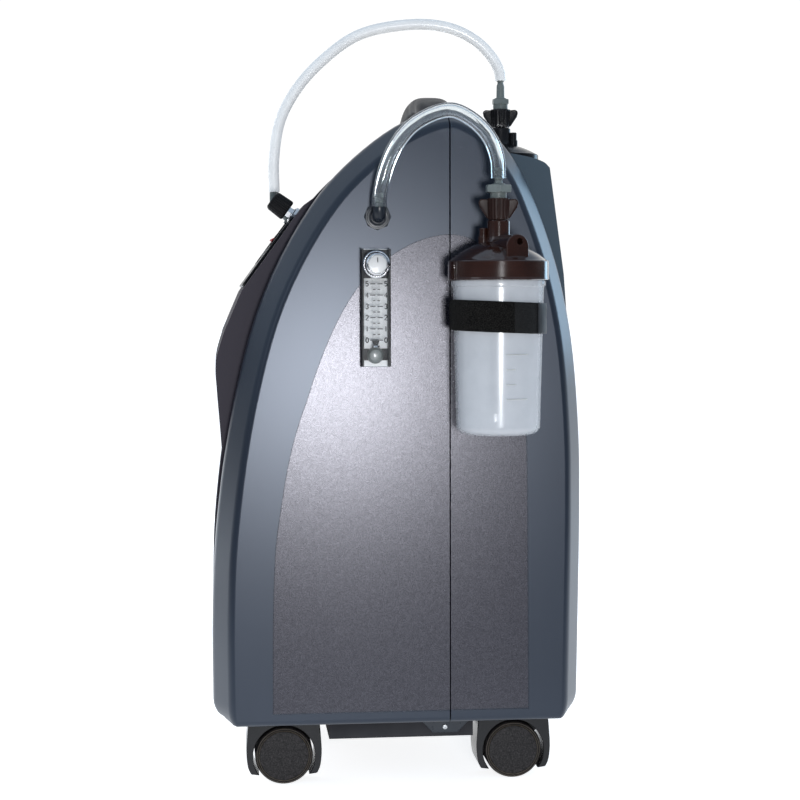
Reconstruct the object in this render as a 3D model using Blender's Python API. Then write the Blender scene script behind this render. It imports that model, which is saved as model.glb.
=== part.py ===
"""Dual-flow oxygen concentrator on four casters.

The case's own frame has +Z up, its front at -Y and its flowmeter side at +X. X = 0 is the case's middle
plane, Y = 0 is midway between the front and rear wheels, and Z = 0 is the floor. The frame_origin empty
moves that frame so that the world's origin is under the middle of the whole object, bottle included.
"""
import math

import bmesh
import bpy
from mathutils import Matrix, Vector

# Driving dimensions, in metres.
CASE_SHIFT = -0.0425        # the case's middle plane in the world, because the side bottle stands out at +X
GAP = 0.0003                # clearance between pieces that touch
RUN = 0.0002                # radial clearance of a turning shaft
WALL = 0.003
SEAM_Y = 0.040              # the joint between the front and the rear shell
SEAM_GAP = 0.0008
BOTTOM = 0.058              # lower edge of the shells
CORNER = 0.020              # radius of the wings' bottom corners

WING_INNER = 0.110          # the wings' inner faces, and the centre box's half width
WING_RIM = 0.130            # where the chamfer starts
WING_FACE = 0.160           # the wings' flat outer faces
CHAMFER = 0.015             # how far the chamfer draws the outline in
LOWER_LIP = 0.006           # the same along the bottom edge, all of it in the last EDGE of the width
EDGE = 0.004
TRAY_LOW, TRAY_TOP = 0.0605, 0.0660     # the base tray's plate

# The wing's arch in (Y, Z), from the front bottom corner over the top to the rear bottom corner.
ARCH = [(-0.1605, BOTTOM + CORNER), (-0.1605, 0.150), (-0.1570, 0.222), (-0.1412, 0.331), (-0.1154, 0.4226),
        (-0.0741, 0.4987), (-0.0389, 0.5380), (0.0058, 0.5697), (0.0430, 0.5800), (0.0740, 0.5665),
        (0.1038, 0.5303), (0.1184, 0.4996), (0.1365, 0.4460), (0.1490, 0.3860), (0.1560, 0.3050),
        (0.1571, 0.2400), (0.1560, 0.1500), (0.1548, BOTTOM + CORNER)]

# The centre box's side outline in (Y, Z). Its front has a flat facet, which carries the controls.
SLOPE = math.radians(53.8)
FACET_LOW, FACET_HIGH = (-0.1335, 0.4260), (-0.0798, 0.4994)
NOSE = [(-0.1500, BOTTOM), (-0.1500, 0.2600), (-0.1525, 0.3050), (-0.1552, 0.3400), (-0.1560, 0.3640),
        (-0.1490, 0.3901)]
CROWN = [(-0.0635, 0.5110), (-0.0380, 0.5300), (-0.0050, 0.5445), (0.0300, 0.5490), (0.0980, 0.5445),
         (0.1280, 0.5370), (0.1335, 0.5320)]
BACK = [(0.1460, 0.4400), (0.1500, 0.3850), (0.1500, BOTTOM)]
REAR_Y = 0.150              # the flat back wall
FILTER_HOLE = ((-0.0850, 0.2350), (0.0050, 0.3450))     # opposite corners in (X, Z)
VENT_HOLE = ((-0.0850, 0.0850), (0.0050, 0.1750))
INLET_HOLE = ((0.0450, 0.0900), (0.0750, 0.1120))
BREAKER_AT = (0.0600, REAR_Y, 0.1400)

PANEL_MID = Vector((0.0, -0.1108, 0.45705))     # the control panel's middle on the facet
PANEL_HALF = (0.085, 0.0345)
PANEL_THICK = 0.0025
SWITCH_AT = (0.060, 0.0215)                     # places on the facet: across, and up the slope
SWITCH_HOLE = (0.0068, 0.0106)
SWITCH_SWING = math.radians(14)
BUTTONS_AT = {"plus_button": (0.033, 0.020), "minus_button": (0.033, 0.002)}
BUTTON_R = 0.0046
WINDOW_AT, WINDOW_HALF = (-0.020, 0.008), (0.034, 0.015)
VALVE_AT = (0.050, 0.0435)
OUTLET_AT = (0.0, 0.0435)

METER_Y, METER_HALF_Y, METER_LOW, METER_HIGH = -0.0234, 0.0119, 0.3626, 0.4606
METER_BACK, METER_FACE, METER_BORE_X = 0.1618, 0.1760, 0.1690
METER_KNOB_Z, METER_ZERO = 0.4475, 0.3846
SIDE_OUTLET_AT = Vector((WING_FACE, -0.0210, 0.4872))
SIDE_ELBOW_X = 0.178

SIDE_BOTTLE = {"name": "side", "x": 0.204, "y": 0.0740, "rim": 0.4500, "lid_r": 0.0410, "jar_r": 0.0372,
               "base": 0.3085, "dome": 0.0146, "skirt": 0.0158, "neck": 0.0180, "nut": 0.0170,
               "thread": 0.0050,
               "hex_r": 0.0113, "hex": 0.0062, "barb_r": 0.0044, "barb": 0.0050, "spout": 0.0355,
               "boss": 0.0098, "spout_turn": math.radians(17), "nut_turn": math.radians(84), "post": (-0.0030, -0.0120, 0.0)}
REAR_BOTTLE = {"name": "rear", "x": 0.0, "y": 0.1075, "rim": 0.5512, "lid_r": 0.0350, "jar_r": 0.0318,
               "base": 0.4145, "dome": 0.0082, "skirt": 0.0155, "neck": 0.0160, "nut": 0.0165,
               "thread": 0.0050,
               "hex_r": 0.0082, "hex": 0.0047, "barb_r": 0.0042, "barb": 0.0165, "spout": 0.0305,
               "boss": 0.0083, "spout_turn": math.radians(175), "nut_turn": math.radians(80), "post": (0.0030, 0.0115, 0.0)}
JAR_WALL = 0.0020
NECK_R = 0.0093

ALCOVE_HALF, ALCOVE_FRONT, ALCOVE_FLOOR = 0.043, 0.066, 0.4140
STRAP_LOW, STRAP_HIGH, STRAP_THICK, STRAP_SLOT = 0.3920, 0.4169, 0.0022, 0.0270

SIDE_HOSE_R, REAR_HOSE_R = 0.00625, 0.0050
HOSE_STUB = 0.006           # both hoses leave their fittings straight up
SIDE_HOSE = [(0.1780, -0.0210, 0.4948), (0.1780, -0.0209, 0.5020), (0.1796, -0.0162, 0.5240),
             (0.1830, -0.0074, 0.5445), (0.1880, 0.0078, 0.5621), (0.1960, 0.0346, 0.5724),
             (0.2000, 0.0504, 0.5663), (0.2030, 0.0656, 0.5515), (0.2040, 0.0730, 0.5330),
             (0.2040, 0.0740, 0.5166)]
REAR_HOSE = [(0.0, -0.1016, 0.5163), (0.0, -0.1016, 0.5465), (0.0, -0.0960, 0.5802), (0.0, -0.0809, 0.6093),
             (0.0, -0.0564, 0.6364), (0.0, -0.0225, 0.6599), (0.0, 0.0284, 0.6697), (0.0, 0.0613, 0.6664),
             (0.0, 0.0850, 0.6550), (0.0, 0.1010, 0.6385), (0.0, 0.1072, 0.6250), (0.0, 0.1075, 0.6190)]

WHEEL_R, WHEEL_WIDE, WEB_HALF = 0.0250, 0.0165, 0.0025
AXLE_R, STEM_R, HOOD_TOP, TRAIL = 0.0030, 0.0055, 0.0575, 0.018
CASTER_X, CASTER_Y = 0.105, 0.118           # the swivel axes
CASTERS = {"front_left": (1, -1), "front_right": (-1, -1), "rear_left": (1, 1), "rear_right": (-1, 1)}

SHELF_Z = 0.2620            # the chassis shelf, which carries the fan
FAN_AT = (0.0, -0.0500)

FINISHES = {                # colour, roughness, metallic
    "slate": ((0.055, 0.070, 0.090), 0.30, 0.25),
    "black": ((0.015, 0.015, 0.017), 0.45, 0.0),
    "dark": ((0.030, 0.032, 0.036), 0.55, 0.0),
    "red": ((0.550, 0.020, 0.015), 0.35, 0.0),
    "chrome": ((0.750, 0.750, 0.740), 0.12, 1.0),
    "steel": ((0.520, 0.520, 0.500), 0.30, 1.0),
    "brown": ((0.036, 0.014, 0.009), 0.22, 0.0),
    "milky": ((0.780, 0.820, 0.850), 0.20, 0.0),
    "clear": ((0.860, 0.890, 0.900), 0.05, 0.0),
    "white": ((0.850, 0.850, 0.840), 0.40, 0.0),
    "grey_green": ((0.300, 0.330, 0.310), 0.35, 0.0),
    "aluminium": ((0.600, 0.610, 0.620), 0.40, 1.0),
    "board": ((0.020, 0.160, 0.060), 0.50, 0.0),
    "foam": ((0.090, 0.090, 0.100), 0.95, 0.0),
}
SHARP = math.radians(32)


# ---------------------------------------------------------------- helpers

def clear_scene():
    for item in list(bpy.data.objects):
        bpy.data.objects.remove(item, do_unlink=True)


def mesh_of(bm):
    """A mesh from a bmesh, with its faces pointing out."""
    bmesh.ops.recalc_face_normals(bm, faces=bm.faces)
    mesh = bpy.data.meshes.new("piece")
    bm.to_mesh(mesh)
    bm.free()
    return mesh


def add(name, mesh, finish, at=(0.0, 0.0, 0.0), turn=(0.0, 0.0, 0.0)):
    """One named part with its own material. Its origin is at the given place in the case's frame."""
    colour, roughness, metallic = FINISHES[finish]
    skin = bpy.data.materials.new(name + "_" + finish)
    skin.use_nodes = True
    shader = skin.node_tree.nodes["Principled BSDF"]
    shader.inputs["Base Color"].default_value = (*colour, 1.0)
    shader.inputs["Roughness"].default_value = roughness
    shader.inputs["Metallic"].default_value = metallic
    if hasattr(mesh, "shade_smooth"):
        mesh.shade_smooth()
        mesh.set_sharp_from_angle(angle=SHARP)
    mesh.materials.append(skin)
    part = bpy.data.objects.new(name, mesh)
    part.location = at
    part.rotation_euler = turn
    part.parent = FRAME
    bpy.context.scene.collection.objects.link(part)
    return part


def combine(base, tool, operation):
    """The union, difference or intersection of two closed meshes, as a new mesh."""
    pair = [bpy.data.objects.new("boolean", mesh) for mesh in (base, tool)]
    for item in pair:
        bpy.context.scene.collection.objects.link(item)
    step = pair[0].modifiers.new("boolean", "BOOLEAN")
    step.operation = operation
    step.object = pair[1]
    graph = bpy.context.evaluated_depsgraph_get()
    result = bpy.data.meshes.new_from_object(pair[0].evaluated_get(graph))
    for item in pair:
        bpy.data.objects.remove(item, do_unlink=True)
    return result


def join(*meshes):
    result = meshes[0]
    for other in meshes[1:]:
        result = combine(result, other, "UNION")
    return result


def cut(mesh, *tools):
    for tool in tools:
        mesh = combine(mesh, tool, "DIFFERENCE")
    return mesh


def loft(rings):
    """A closed solid through rings that have the same number of points, with flat ends."""
    bm = bmesh.new()
    rows = [[bm.verts.new(point) for point in ring] for ring in rings]
    for low, high in zip(rows, rows[1:]):
        for i in range(len(low)):
            k = (i + 1) % len(low)
            bm.faces.new((low[i], low[k], high[k], high[i]))
    bm.faces.new(rows[0])
    bm.faces.new(rows[-1])
    return mesh_of(bm)


def prism(outline, low, high, axis="x"):
    """An outline in the two other axes, in X, Y, Z order, drawn out along one axis."""
    place = {"x": lambda p, d: (d, p[0], p[1]), "y": lambda p, d: (p[0], d, p[1]),
             "z": lambda p, d: (p[0], p[1], d)}[axis]
    return loft([[place(p, depth) for p in outline] for depth in (low, high)])


def box(low, high):
    outline = [(low[0], low[1]), (high[0], low[1]), (high[0], high[1]), (low[0], high[1])]
    return prism(outline, low[2], high[2], "z")


def lathe(profile, sides=32):
    """Turns an outline of (radius, height) points about Z. Points on the axis make a solid end."""
    bm = bmesh.new()
    rows = []
    for radius, height in profile:
        if radius == 0.0:
            rows.append([bm.verts.new((0.0, 0.0, height))] * sides)
        else:
            angles = [2 * math.pi * i / sides for i in range(sides)]
            rows.append([bm.verts.new((radius * math.cos(a), radius * math.sin(a), height)) for a in angles])
    closed = profile[0][0] > 0.0
    pairs = list(zip(rows, rows[1:])) + ([(rows[-1], rows[0])] if closed else [])
    for low, high in pairs:
        for i in range(sides):
            k = (i + 1) % sides
            corners = list(dict.fromkeys((low[i], low[k], high[k], high[i])))
            if len(corners) > 2:
                bm.faces.new(corners)
    return mesh_of(bm)


def rod(radius, low, high, sides=24):
    return lathe([(0.0, low), (radius, low), (radius, high), (0.0, high)], sides)


def moved(mesh, matrix):
    copy = mesh.copy()
    copy.transform(matrix)
    return copy


def aim(direction, at=(0.0, 0.0, 0.0)):
    """The placement that turns +Z to a direction and moves the origin to a point."""
    return Matrix.Translation(at) @ Vector(direction).to_track_quat("Z", "Y").to_matrix().to_4x4()


def smooth(points, steps):
    """Points on a centripetal Catmull-Rom curve through the given ones, in any number of dimensions."""
    size = len(points[0])
    route = [Vector((*p, 0.0)) if size == 2 else Vector(p) for p in points]
    route = [route[0] * 2 - route[1]] + route + [route[-1] * 2 - route[-2]]
    found = []
    for a, b, c, d in zip(route, route[1:], route[2:], route[3:]):
        t1 = math.sqrt((b - a).length)
        t2 = t1 + math.sqrt((c - b).length)
        t3 = t2 + math.sqrt((d - c).length)
        for i in range(steps):
            t = t1 + (t2 - t1) * i / steps
            ab = a.lerp(b, t / t1)
            bc = b.lerp(c, (t - t1) / (t2 - t1))
            cd = c.lerp(d, (t - t2) / (t3 - t2))
            found.append(ab.lerp(bc, t / t2).lerp(bc.lerp(cd, (t - t1) / (t3 - t1)), (t - t1) / (t2 - t1)))
    found.append(route[-2])
    return [tuple(p)[:size] for p in found]


def drawn_in(points, distance):
    """An open curve, run clockwise, moved towards its inner side by a distance. Its ends stay level."""
    ways = [(Vector(b) - Vector(a)).normalized() for a, b in zip(points, points[1:])]
    moved_points = []
    for i, point in enumerate(points):
        before, after = ways[max(i - 1, 0)], ways[min(i, len(ways) - 1)]
        inward = Vector((before.y + after.y, -before.x - after.x))
        if i in (0, len(points) - 1):
            inward = Vector((math.copysign(2.0, inward.x), 0.0))
        moved_points.append(tuple(Vector(point) + inward * distance / (1.0 + before.dot(after))))
    return moved_points


def arc(centre, radius, start, end, steps):
    """Points on an arc in a plane, with its angles in degrees. The radius may be a pair for an ellipse."""
    wide, tall = radius if isinstance(radius, tuple) else (radius, radius)
    turns = [math.radians(start + (end - start) * i / steps) for i in range(steps + 1)]
    return [(centre[0] + wide * math.cos(a), centre[1] + tall * math.sin(a)) for a in turns]


def on_facet(across, up, out):
    """A point given across the facet, up its slope and out of it."""
    along = Vector((0.0, math.cos(SLOPE), math.sin(SLOPE)))
    normal = Vector((0.0, -math.sin(SLOPE), math.cos(SLOPE)))
    return PANEL_MID + Vector((across, 0.0, 0.0)) + along * up + normal * out


# ---------------------------------------------------------------- casing

def wing_outline(side, lower):
    """The wing's outline, drawn in by one distance at its sides and another at its bottom."""
    curve = smooth(ARCH, 3)
    (front, level), (rear, _) = ARCH[0], ARCH[-1]
    rear_corner = arc((rear - CORNER, level), (CORNER - side, CORNER - lower), 0, -90, 4)
    front_corner = arc((front + CORNER, level), (CORNER - side, CORNER - lower), 270, 180, 4)
    return drawn_in(curve, side) + rear_corner[1:] + front_corner[:-1]


def wing(side):
    share = 1.0 - EDGE / (WING_FACE - WING_RIM)
    rings = [(WING_INNER, 0.0, 0.0), (WING_RIM, 0.0, 0.0), (WING_FACE - EDGE, CHAMFER * share, 0.0012),
             (WING_FACE, CHAMFER, LOWER_LIP)]
    return loft([[(side * x, y, z) for y, z in wing_outline(d, low)] for x, d, low in rings])


def wing_hollow(side):
    """The space inside a wing, open at the bottom."""
    rings = []
    for x, d in ((WING_INNER + WALL, WALL), (WING_RIM - 0.0015, WALL), (WING_FACE - WALL, CHAMFER + WALL)):
        curve = drawn_in(smooth(ARCH, 3), d)
        ends = [(curve[-1][0], BOTTOM - CORNER), (curve[0][0], BOTTOM - CORNER)]
        rings.append([(side * x, y, z) for y, z in curve + ends])
    return loft(rings)


def centre_outline():
    front = smooth(NOSE, 2)
    top = smooth([FACET_HIGH] + CROWN, 2)
    return front + [FACET_LOW] + top + BACK


def centre_hollow():
    inner = drawn_in(centre_outline(), WALL)
    ends = [(inner[-1][0], BOTTOM - CORNER), (inner[0][0], BOTTOM - CORNER)]
    half = WING_INNER - WALL
    return prism(inner + ends, -half, half)


def tray_outline(spare):
    """The base tray's plan, grown by a clearance."""
    wide, narrow = 0.1530 + spare, 0.1300
    front, back = -0.1460 - spare, 0.1455 + spare
    return [(-wide, front + 0.006), (-narrow, front), (narrow, front), (wide, front + 0.006),
            (wide, back - 0.0095), (narrow, back), (-narrow, back), (-wide, back - 0.0095)]


def casing():
    """The whole shell, before it is split at the seam."""
    half = WING_INNER + 0.001
    outer = join(prism(centre_outline(), -half, half), wing(1), wing(-1))
    link = box((-WING_RIM, -0.120, BOTTOM - CORNER), (WING_RIM, 0.125, 0.400))
    floor = prism(tray_outline(GAP), BOTTOM - CORNER, 0.0900, "z")
    hollow = join(centre_hollow(), wing_hollow(1), wing_hollow(-1), link, floor)
    keep = box((-ALCOVE_HALF - WALL, ALCOVE_FRONT - WALL, ALCOVE_FLOOR - WALL),
               (ALCOVE_HALF + WALL, 0.2, 0.6))
    alcove = box((-ALCOVE_HALF, ALCOVE_FRONT, ALCOVE_FLOOR - GAP), (ALCOVE_HALF, 0.2, 0.6))
    return cut(outer, cut(hollow, keep), alcove)


def make_shells():
    shell = casing()
    far = 0.3
    front = combine(shell, box((-far, -far, 0.0), (far, SEAM_Y - SEAM_GAP / 2, 0.7)), "INTERSECT")
    rear = combine(shell, box((-far, SEAM_Y + SEAM_GAP / 2, 0.0), (far, far, 0.7)), "INTERSECT")

    outward = on_facet(0, 0, 1) - on_facet(0, 0, 0)
    for across, up in (VALVE_AT, OUTLET_AT):
        front = cut(front, moved(rod(0.0045, -0.008, 0.008, 20), aim(outward, on_facet(across, up, 0))))
    across, up = SWITCH_AT
    half_x, half_s = SWITCH_HOLE
    switch_hole = box((-half_x, -half_s, -0.01), (half_x, half_s, 0.01))
    turned = Matrix.Translation(on_facet(across, up, 0)) @ Matrix.Rotation(SLOPE, 4, "X")
    front = cut(front, moved(switch_hole, turned))
    front = cut(front, moved(rod(0.0060, -0.01, 0.01, 20), aim((1, 0, 0), SIDE_OUTLET_AT)))
    for z in (METER_LOW + 0.012, METER_HIGH - 0.012):
        front = cut(front, moved(rod(0.0040, -0.01, 0.01, 16), aim((1, 0, 0), (WING_FACE, METER_Y, z))))
    add("front_shell", front, "slate")

    for low, high in (FILTER_HOLE, VENT_HOLE, INLET_HOLE):
        rear = cut(rear, box((low[0], 0.13, low[1]), (high[0], 0.17, high[1])))
    rear = cut(rear, moved(rod(0.0048, -0.01, 0.01, 20), aim((0, 1, 0), BREAKER_AT)))
    bottle_y = SIDE_BOTTLE["y"]
    for side in (-1, 1):
        y = bottle_y + side * STRAP_SLOT
        slot = box((0.150, y - 0.0035, STRAP_LOW - 0.001), (0.170, y + 0.0035, STRAP_HIGH + 0.001))
        rear = cut(rear, slot)
    add("rear_shell", rear, "slate")


def make_tray():
    plate = prism(tray_outline(0.0), TRAY_LOW, TRAY_TOP, "z")
    pan = box((-0.140, -0.062, 0.0430), (0.140, 0.062, TRAY_LOW + 0.0020))
    tray = join(plate, pan)
    for left, back in CASTERS.values():
        at = Matrix.Translation((left * CASTER_X, back * CASTER_Y, 0.0))
        tray = join(tray, moved(rod(0.0120, TRAY_LOW - 0.0020, 0.0880, 16), at))
        tray = cut(tray, moved(rod(STEM_R + 2 * RUN, 0.0400, 0.0860, 16), at))
    add("base_tray", tray, "dark")


def make_handle():
    """A bowed grip bar between the wings' tops."""
    rings = []
    half = WING_INNER - GAP
    for i in range(13):
        x = -half + 2 * half * i / 12
        lift = 0.0240 * (1.0 - abs(x / half) ** 2.6)
        section = []
        for k in range(12):
            a = 2 * math.pi * k / 12
            y = 0.0155 * math.copysign(abs(math.cos(a)) ** 0.7, math.cos(a))
            z = 0.0085 * math.copysign(abs(math.sin(a)) ** 0.7, math.sin(a))
            section.append((x, 0.0370 + y, 0.5680 + lift + z))
        rings.append(section)
    add("carry_handle", loft(rings), "dark")


# ---------------------------------------------------------------- controls on the slope

def make_panel():
    half_x, half_s = PANEL_HALF
    corner = 0.005
    outline = []
    for across, up, start in ((1, 1, 0), (-1, 1, 90), (-1, -1, 180), (1, -1, 270)):
        centre = (across * (half_x - corner), up * (half_s - corner))
        outline += arc(centre, corner, start, start + 90, 3)
    slab = prism(outline, GAP, PANEL_THICK, "z")
    (wx, ws), (sx, ss) = WINDOW_AT, SWITCH_AT
    ww, wh = WINDOW_HALF
    slab = cut(slab, box((wx - ww - GAP, ws - wh - GAP, 0.0013), (wx + ww + GAP, ws + wh + GAP, 0.01)))
    hx, hs = SWITCH_HOLE
    slab = cut(slab, box((sx - hx, ss - hs, -0.01), (sx + hx, ss + hs, 0.01)))
    for x, s in BUTTONS_AT.values():
        slab = cut(slab, moved(rod(BUTTON_R + 0.0004, -0.01, 0.01, 20), Matrix.Translation((x, s, 0.0))))
    turn = (SLOPE, 0.0, 0.0)
    add("control_panel", slab, "black", on_facet(0, 0, 0), turn)
    add("display_window", box((-ww, -wh, 0.0016), (ww, wh, 0.0024)), "dark", on_facet(wx, ws, 0), turn)
    for name, (x, s) in BUTTONS_AT.items():
        add(name, rod(BUTTON_R, 0.0009, 0.0032, 20), "white", on_facet(x, s, 0), turn)
    make_switch(turn)


def make_switch(turn):
    """A rocker, whose origin is on its pivot. At rest its upper end is pressed in by half its swing."""
    profile = [(-0.0093, -0.0035), (0.0093, -0.0035), (0.0097, 0.0), (0.0093, 0.0036), (0.0, 0.0014),
               (-0.0093, 0.0036), (-0.0097, 0.0)]
    rocker = prism(profile, -0.0062, 0.0062)
    rocker = moved(rocker, Matrix.Rotation(-SWITCH_SWING / 2, 4, "X"))
    add("power_switch", rocker, "red", on_facet(*SWITCH_AT, 0.0012), turn)

def make_valve():
    turn = (SLOPE, 0.0, 0.0)
    flange = lathe([(0.0047, GAP), (0.0080, GAP), (0.0080, 0.0025), (0.0068, 0.0034), (0.0047, 0.0034)], 24)
    add("valve_flange", flange, "chrome", on_facet(*VALVE_AT, 0.0), turn)
    stem = rod(0.0040, -0.0060, 0.0045, 20)
    hexagon = rod(0.0048, 0.0040, 0.0080, 6)
    ribbed = []
    for i in range(24):
        r = 0.0096 if i % 2 else 0.0091
        ribbed.append((r * math.cos(2 * math.pi * i / 24), r * math.sin(2 * math.pi * i / 24)))
    grip = loft([[(x * k, y * k, z) for x, y in ribbed] for k, z in
                 ((0.94, 0.0076), (1.0, 0.0088), (0.93, 0.0230), (0.80, 0.0252))])
    add("valve_knob", join(stem, hexagon, grip), "black", on_facet(*VALVE_AT, 0.0), turn)


def elbow(start, corner, end, radius, bend, sides=14):
    """A round pipe with one bend of a given radius between two straight runs."""
    start, corner, end = Vector(start), Vector(corner), Vector(end)
    first, second = (corner - start).normalized(), (end - corner).normalized()
    turn = first.angle(second)
    back = bend * math.tan(turn / 2)
    enter = corner - first * back
    centre = enter + (second - first * second.dot(first)) * (bend / math.sin(turn))
    normal = first.cross(second).normalized()
    path = [(start, first)]
    for i in range(5):
        spin = Matrix.Rotation(turn * i / 4, 3, normal)
        path.append((centre + spin @ (enter - centre), spin @ first))
    path.append((end, second))
    rings = []
    for place, way in path:
        across = way.cross(normal)
        rings.append([tuple(place + (normal * math.cos(a) + across * math.sin(a)) * radius)
                      for a in (2 * math.pi * k / sides for k in range(sides))])
    return loft(rings)


def make_outlets():
    """The elbows that the two hoses start from, each with the nut that holds it to the shell."""
    outward = on_facet(0, 0, 1) - on_facet(0, 0, 0)
    corner = on_facet(*OUTLET_AT, 0.0204)
    fitting = elbow(on_facet(*OUTLET_AT, -0.0065), corner, (0.0, corner.y, 0.5160), 0.0042, 0.0060)
    nut = moved(rod(0.0090, GAP, 0.0045, 6), aim(outward, on_facet(*OUTLET_AT, 0.0)))
    add("front_outlet", join(fitting, nut), "grey_green")

    corner = Vector((SIDE_ELBOW_X, SIDE_OUTLET_AT.y, SIDE_OUTLET_AT.z))
    fitting = elbow((0.1520, corner.y, corner.z), corner, (corner.x, corner.y, 0.4945), 0.0054, 0.0062)
    nut = moved(rod(0.0112, GAP, 0.0045, 8), aim((1, 0, 0), SIDE_OUTLET_AT))
    add("side_outlet", join(fitting, nut), "dark")


# ---------------------------------------------------------------- side flowmeter

def make_flowmeter():
    y, low, high = METER_Y, METER_LOW, METER_HIGH
    body = box((METER_BACK, y - METER_HALF_Y, low), (METER_FACE, y + METER_HALF_Y, high))
    bore = moved(rod(0.0036, METER_ZERO - 0.0057, METER_KNOB_Z, 20),
                 Matrix.Translation((METER_BORE_X, y, 0.0)))
    stem_hole = moved(rod(0.0046, -0.0125, 0.0050, 20), aim((1, 0, 0), (METER_FACE, y, METER_KNOB_Z)))
    add("flowmeter_body", cut(body, bore, stem_hole), "clear")
    scale = box((WING_FACE + GAP, y - METER_HALF_Y, low), (METER_BACK - GAP, y + METER_HALF_Y, high))
    pegs = [moved(rod(0.0035, -0.005, 0.0005, 16), aim((1, 0, 0), (WING_FACE, y, z)))
            for z in (low + 0.012, high - 0.012)]
    add("flowmeter_scale", join(scale, *pegs), "white")
    drop = lathe([(0.0, -0.0030), (0.0014, -0.0030), (0.0031, 0.0020), (0.0031, 0.0028), (0.0, 0.0028)], 16)
    add("flowmeter_float", drop, "black", (METER_BORE_X, y, METER_ZERO - 0.0022))
    knob = lathe([(0.0, -0.0050), (0.0042, -0.0050), (0.0042, 0.0006), (0.0088, 0.0006), (0.0096, 0.0018),
                  (0.0096, 0.0105), (0.0086, 0.0120), (0.0, 0.0120)], 24)
    add("flowmeter_knob", knob, "chrome", (METER_FACE, y, METER_KNOB_Z), (0.0, math.radians(90), 0.0))


# ---------------------------------------------------------------- humidifier bottles

def lid_mesh(b):
    """A domed lid with a stem for the wing nut, a relief post, and a round-topped outlet boss with a bore."""
    rim, r, dome = b["rim"], b["lid_r"], b["dome"]
    neck_low = rim + dome
    neck_top = neck_low + b["neck"]
    dome_arc = [(r - 0.0008 - (r - 0.0125) * t, rim + dome * (1 - (1 - t) ** 1.6))
                for t in (0, 0.3, 0.6, 1)]
    inner = r - 0.0022
    ceiling = rim - 0.0022 + dome * 0.5
    stud = [(0.0, neck_top + 0.0092), (0.0045, neck_top + 0.0092), (0.0045, neck_top), (NECK_R, neck_top),
            (NECK_R, neck_low + 0.0012)]
    skirt = [(r, rim - 0.0010), (r, rim - b["skirt"]), (inner, rim - b["skirt"]), (inner, rim - 0.0040),
             (inner * 0.8, rim - 0.0022), (0.0120, ceiling), (0.0, ceiling)]
    lid = lathe(stud + dome_arc[::-1] + skirt, 24)
    post = moved(rod(0.0032, rim + dome * 0.4, neck_low + 0.0120, 12), Matrix.Translation(b["post"]))
    half, centre = b["boss"], rim + b["boss"] * 1.1
    shape = arc((0.0, centre), half, 0, 180, 12) + [(-half, rim - 0.0005), (half, rim - 0.0005)]
    spout = prism(shape, 0.004, b["spout"])
    bore = moved(rod(0.0028, b["spout"] - 0.010, b["spout"] + 0.01, 16),
                 aim((1, 0, 0), (0.0, half * 0.15, rim + half * 1.5)))
    turn = Matrix.Rotation(b["spout_turn"], 4, "Z")
    return cut(join(lid, post, moved(spout, turn)), moved(bore, turn))


def jar_mesh(b):
    """A tapered jar with a moulded ring under its threaded neck."""
    r, base, top = b["jar_r"], b["base"], b["rim"] - b["skirt"]
    foot = r - 0.0028
    round_foot = [(foot - 0.006 + 0.006 * math.sin(a), base + 0.006 - 0.006 * math.cos(a))
                  for a in (0.0, math.pi / 4, math.pi / 2)]
    neck_r = b["lid_r"] - 0.0040
    outer = round_foot + [(r, top - 0.0050), (r + 0.0013, top - 0.0044), (r + 0.0013, top - 0.0006),
                          (neck_r, top - GAP), (neck_r, top + 0.0095)]
    inner = [(neck_r - JAR_WALL, top + 0.0095), (r - JAR_WALL, top - 0.0050),
             (foot - JAR_WALL, base + 0.0075), (foot - 0.0060, base + JAR_WALL), (0.0, base + JAR_WALL)]
    return lathe([(0.0, base)] + outer + inner, 24)


def make_bottle(b, lid_finish):
    """Lid, jar, dip tube, wing nut and nipple, each with its origin on the bottle's axis."""
    name, at = b["name"], (b["x"], b["y"], 0.0)
    add(name + "_lid", lid_mesh(b), lid_finish, at)
    add(name + "_jar", jar_mesh(b), "milky", at)

    ceiling = b["rim"] - 0.0022 + b["dome"] * 0.5 - GAP
    foot = b["base"] + 0.0165
    tube = lathe([(0.0, foot), (0.0045, foot), (0.0052, foot + 0.002), (0.0052, foot + 0.020),
                  (0.0030, foot + 0.023), (0.0030, ceiling), (0.0, ceiling)], 20)
    add(name + "_dip_tube", tube, "milky", at)

    nut_low = b["rim"] + b["dome"] + b["neck"] + GAP * 2
    nut_top = nut_low + b["nut"]
    core = lathe([(0.0050, nut_low), (0.0085, nut_low), (0.0093, nut_low + 0.003), (0.0093, nut_top),
                  (0.0050, nut_top)], 24)
    blade = [(0.0070, nut_low + 0.0012), (0.0092, nut_low + 0.0010), (0.0150, nut_low + 0.0095),
             (0.0160, nut_low + 0.0135), (0.0152, nut_top - 0.0012), (0.0138, nut_top - 0.0004),
             (0.0070, nut_top - 0.0006)]
    wings = [prism([(s * x, z) for x, z in blade], -0.0018, 0.0018, "y") for s in (-1, 1)]
    add(name + "_wing_nut", moved(join(core, *wings), Matrix.Rotation(b["nut_turn"], 4, "Z")), lid_finish, at)

    hex_low = nut_top + b["thread"]
    hex_top = hex_low + b["hex"]
    end = hex_top + b["barb"] - GAP
    stem = lathe([(0.0, nut_top - 0.0070), (0.0046, nut_top - 0.0070), (0.0046, nut_top + 0.0004),
                  (0.0068, nut_top + 0.0004), (0.0068, hex_low + 0.0005), (0.0, hex_low + 0.0005)], 14)
    nut = rod(b["hex_r"], hex_low, hex_top, 6)
    r = b["barb_r"]
    barb = lathe([(0.0, hex_top - 0.0005), (r * 0.86, hex_top - 0.0005), (r * 0.86, end - 0.0045),
                  (r, end - 0.0040), (r * 0.82, end), (0.0, end)], 14)
    add(name + "_nipple", join(stem, nut, barb), "grey_green", at)
    return end + GAP


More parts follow.
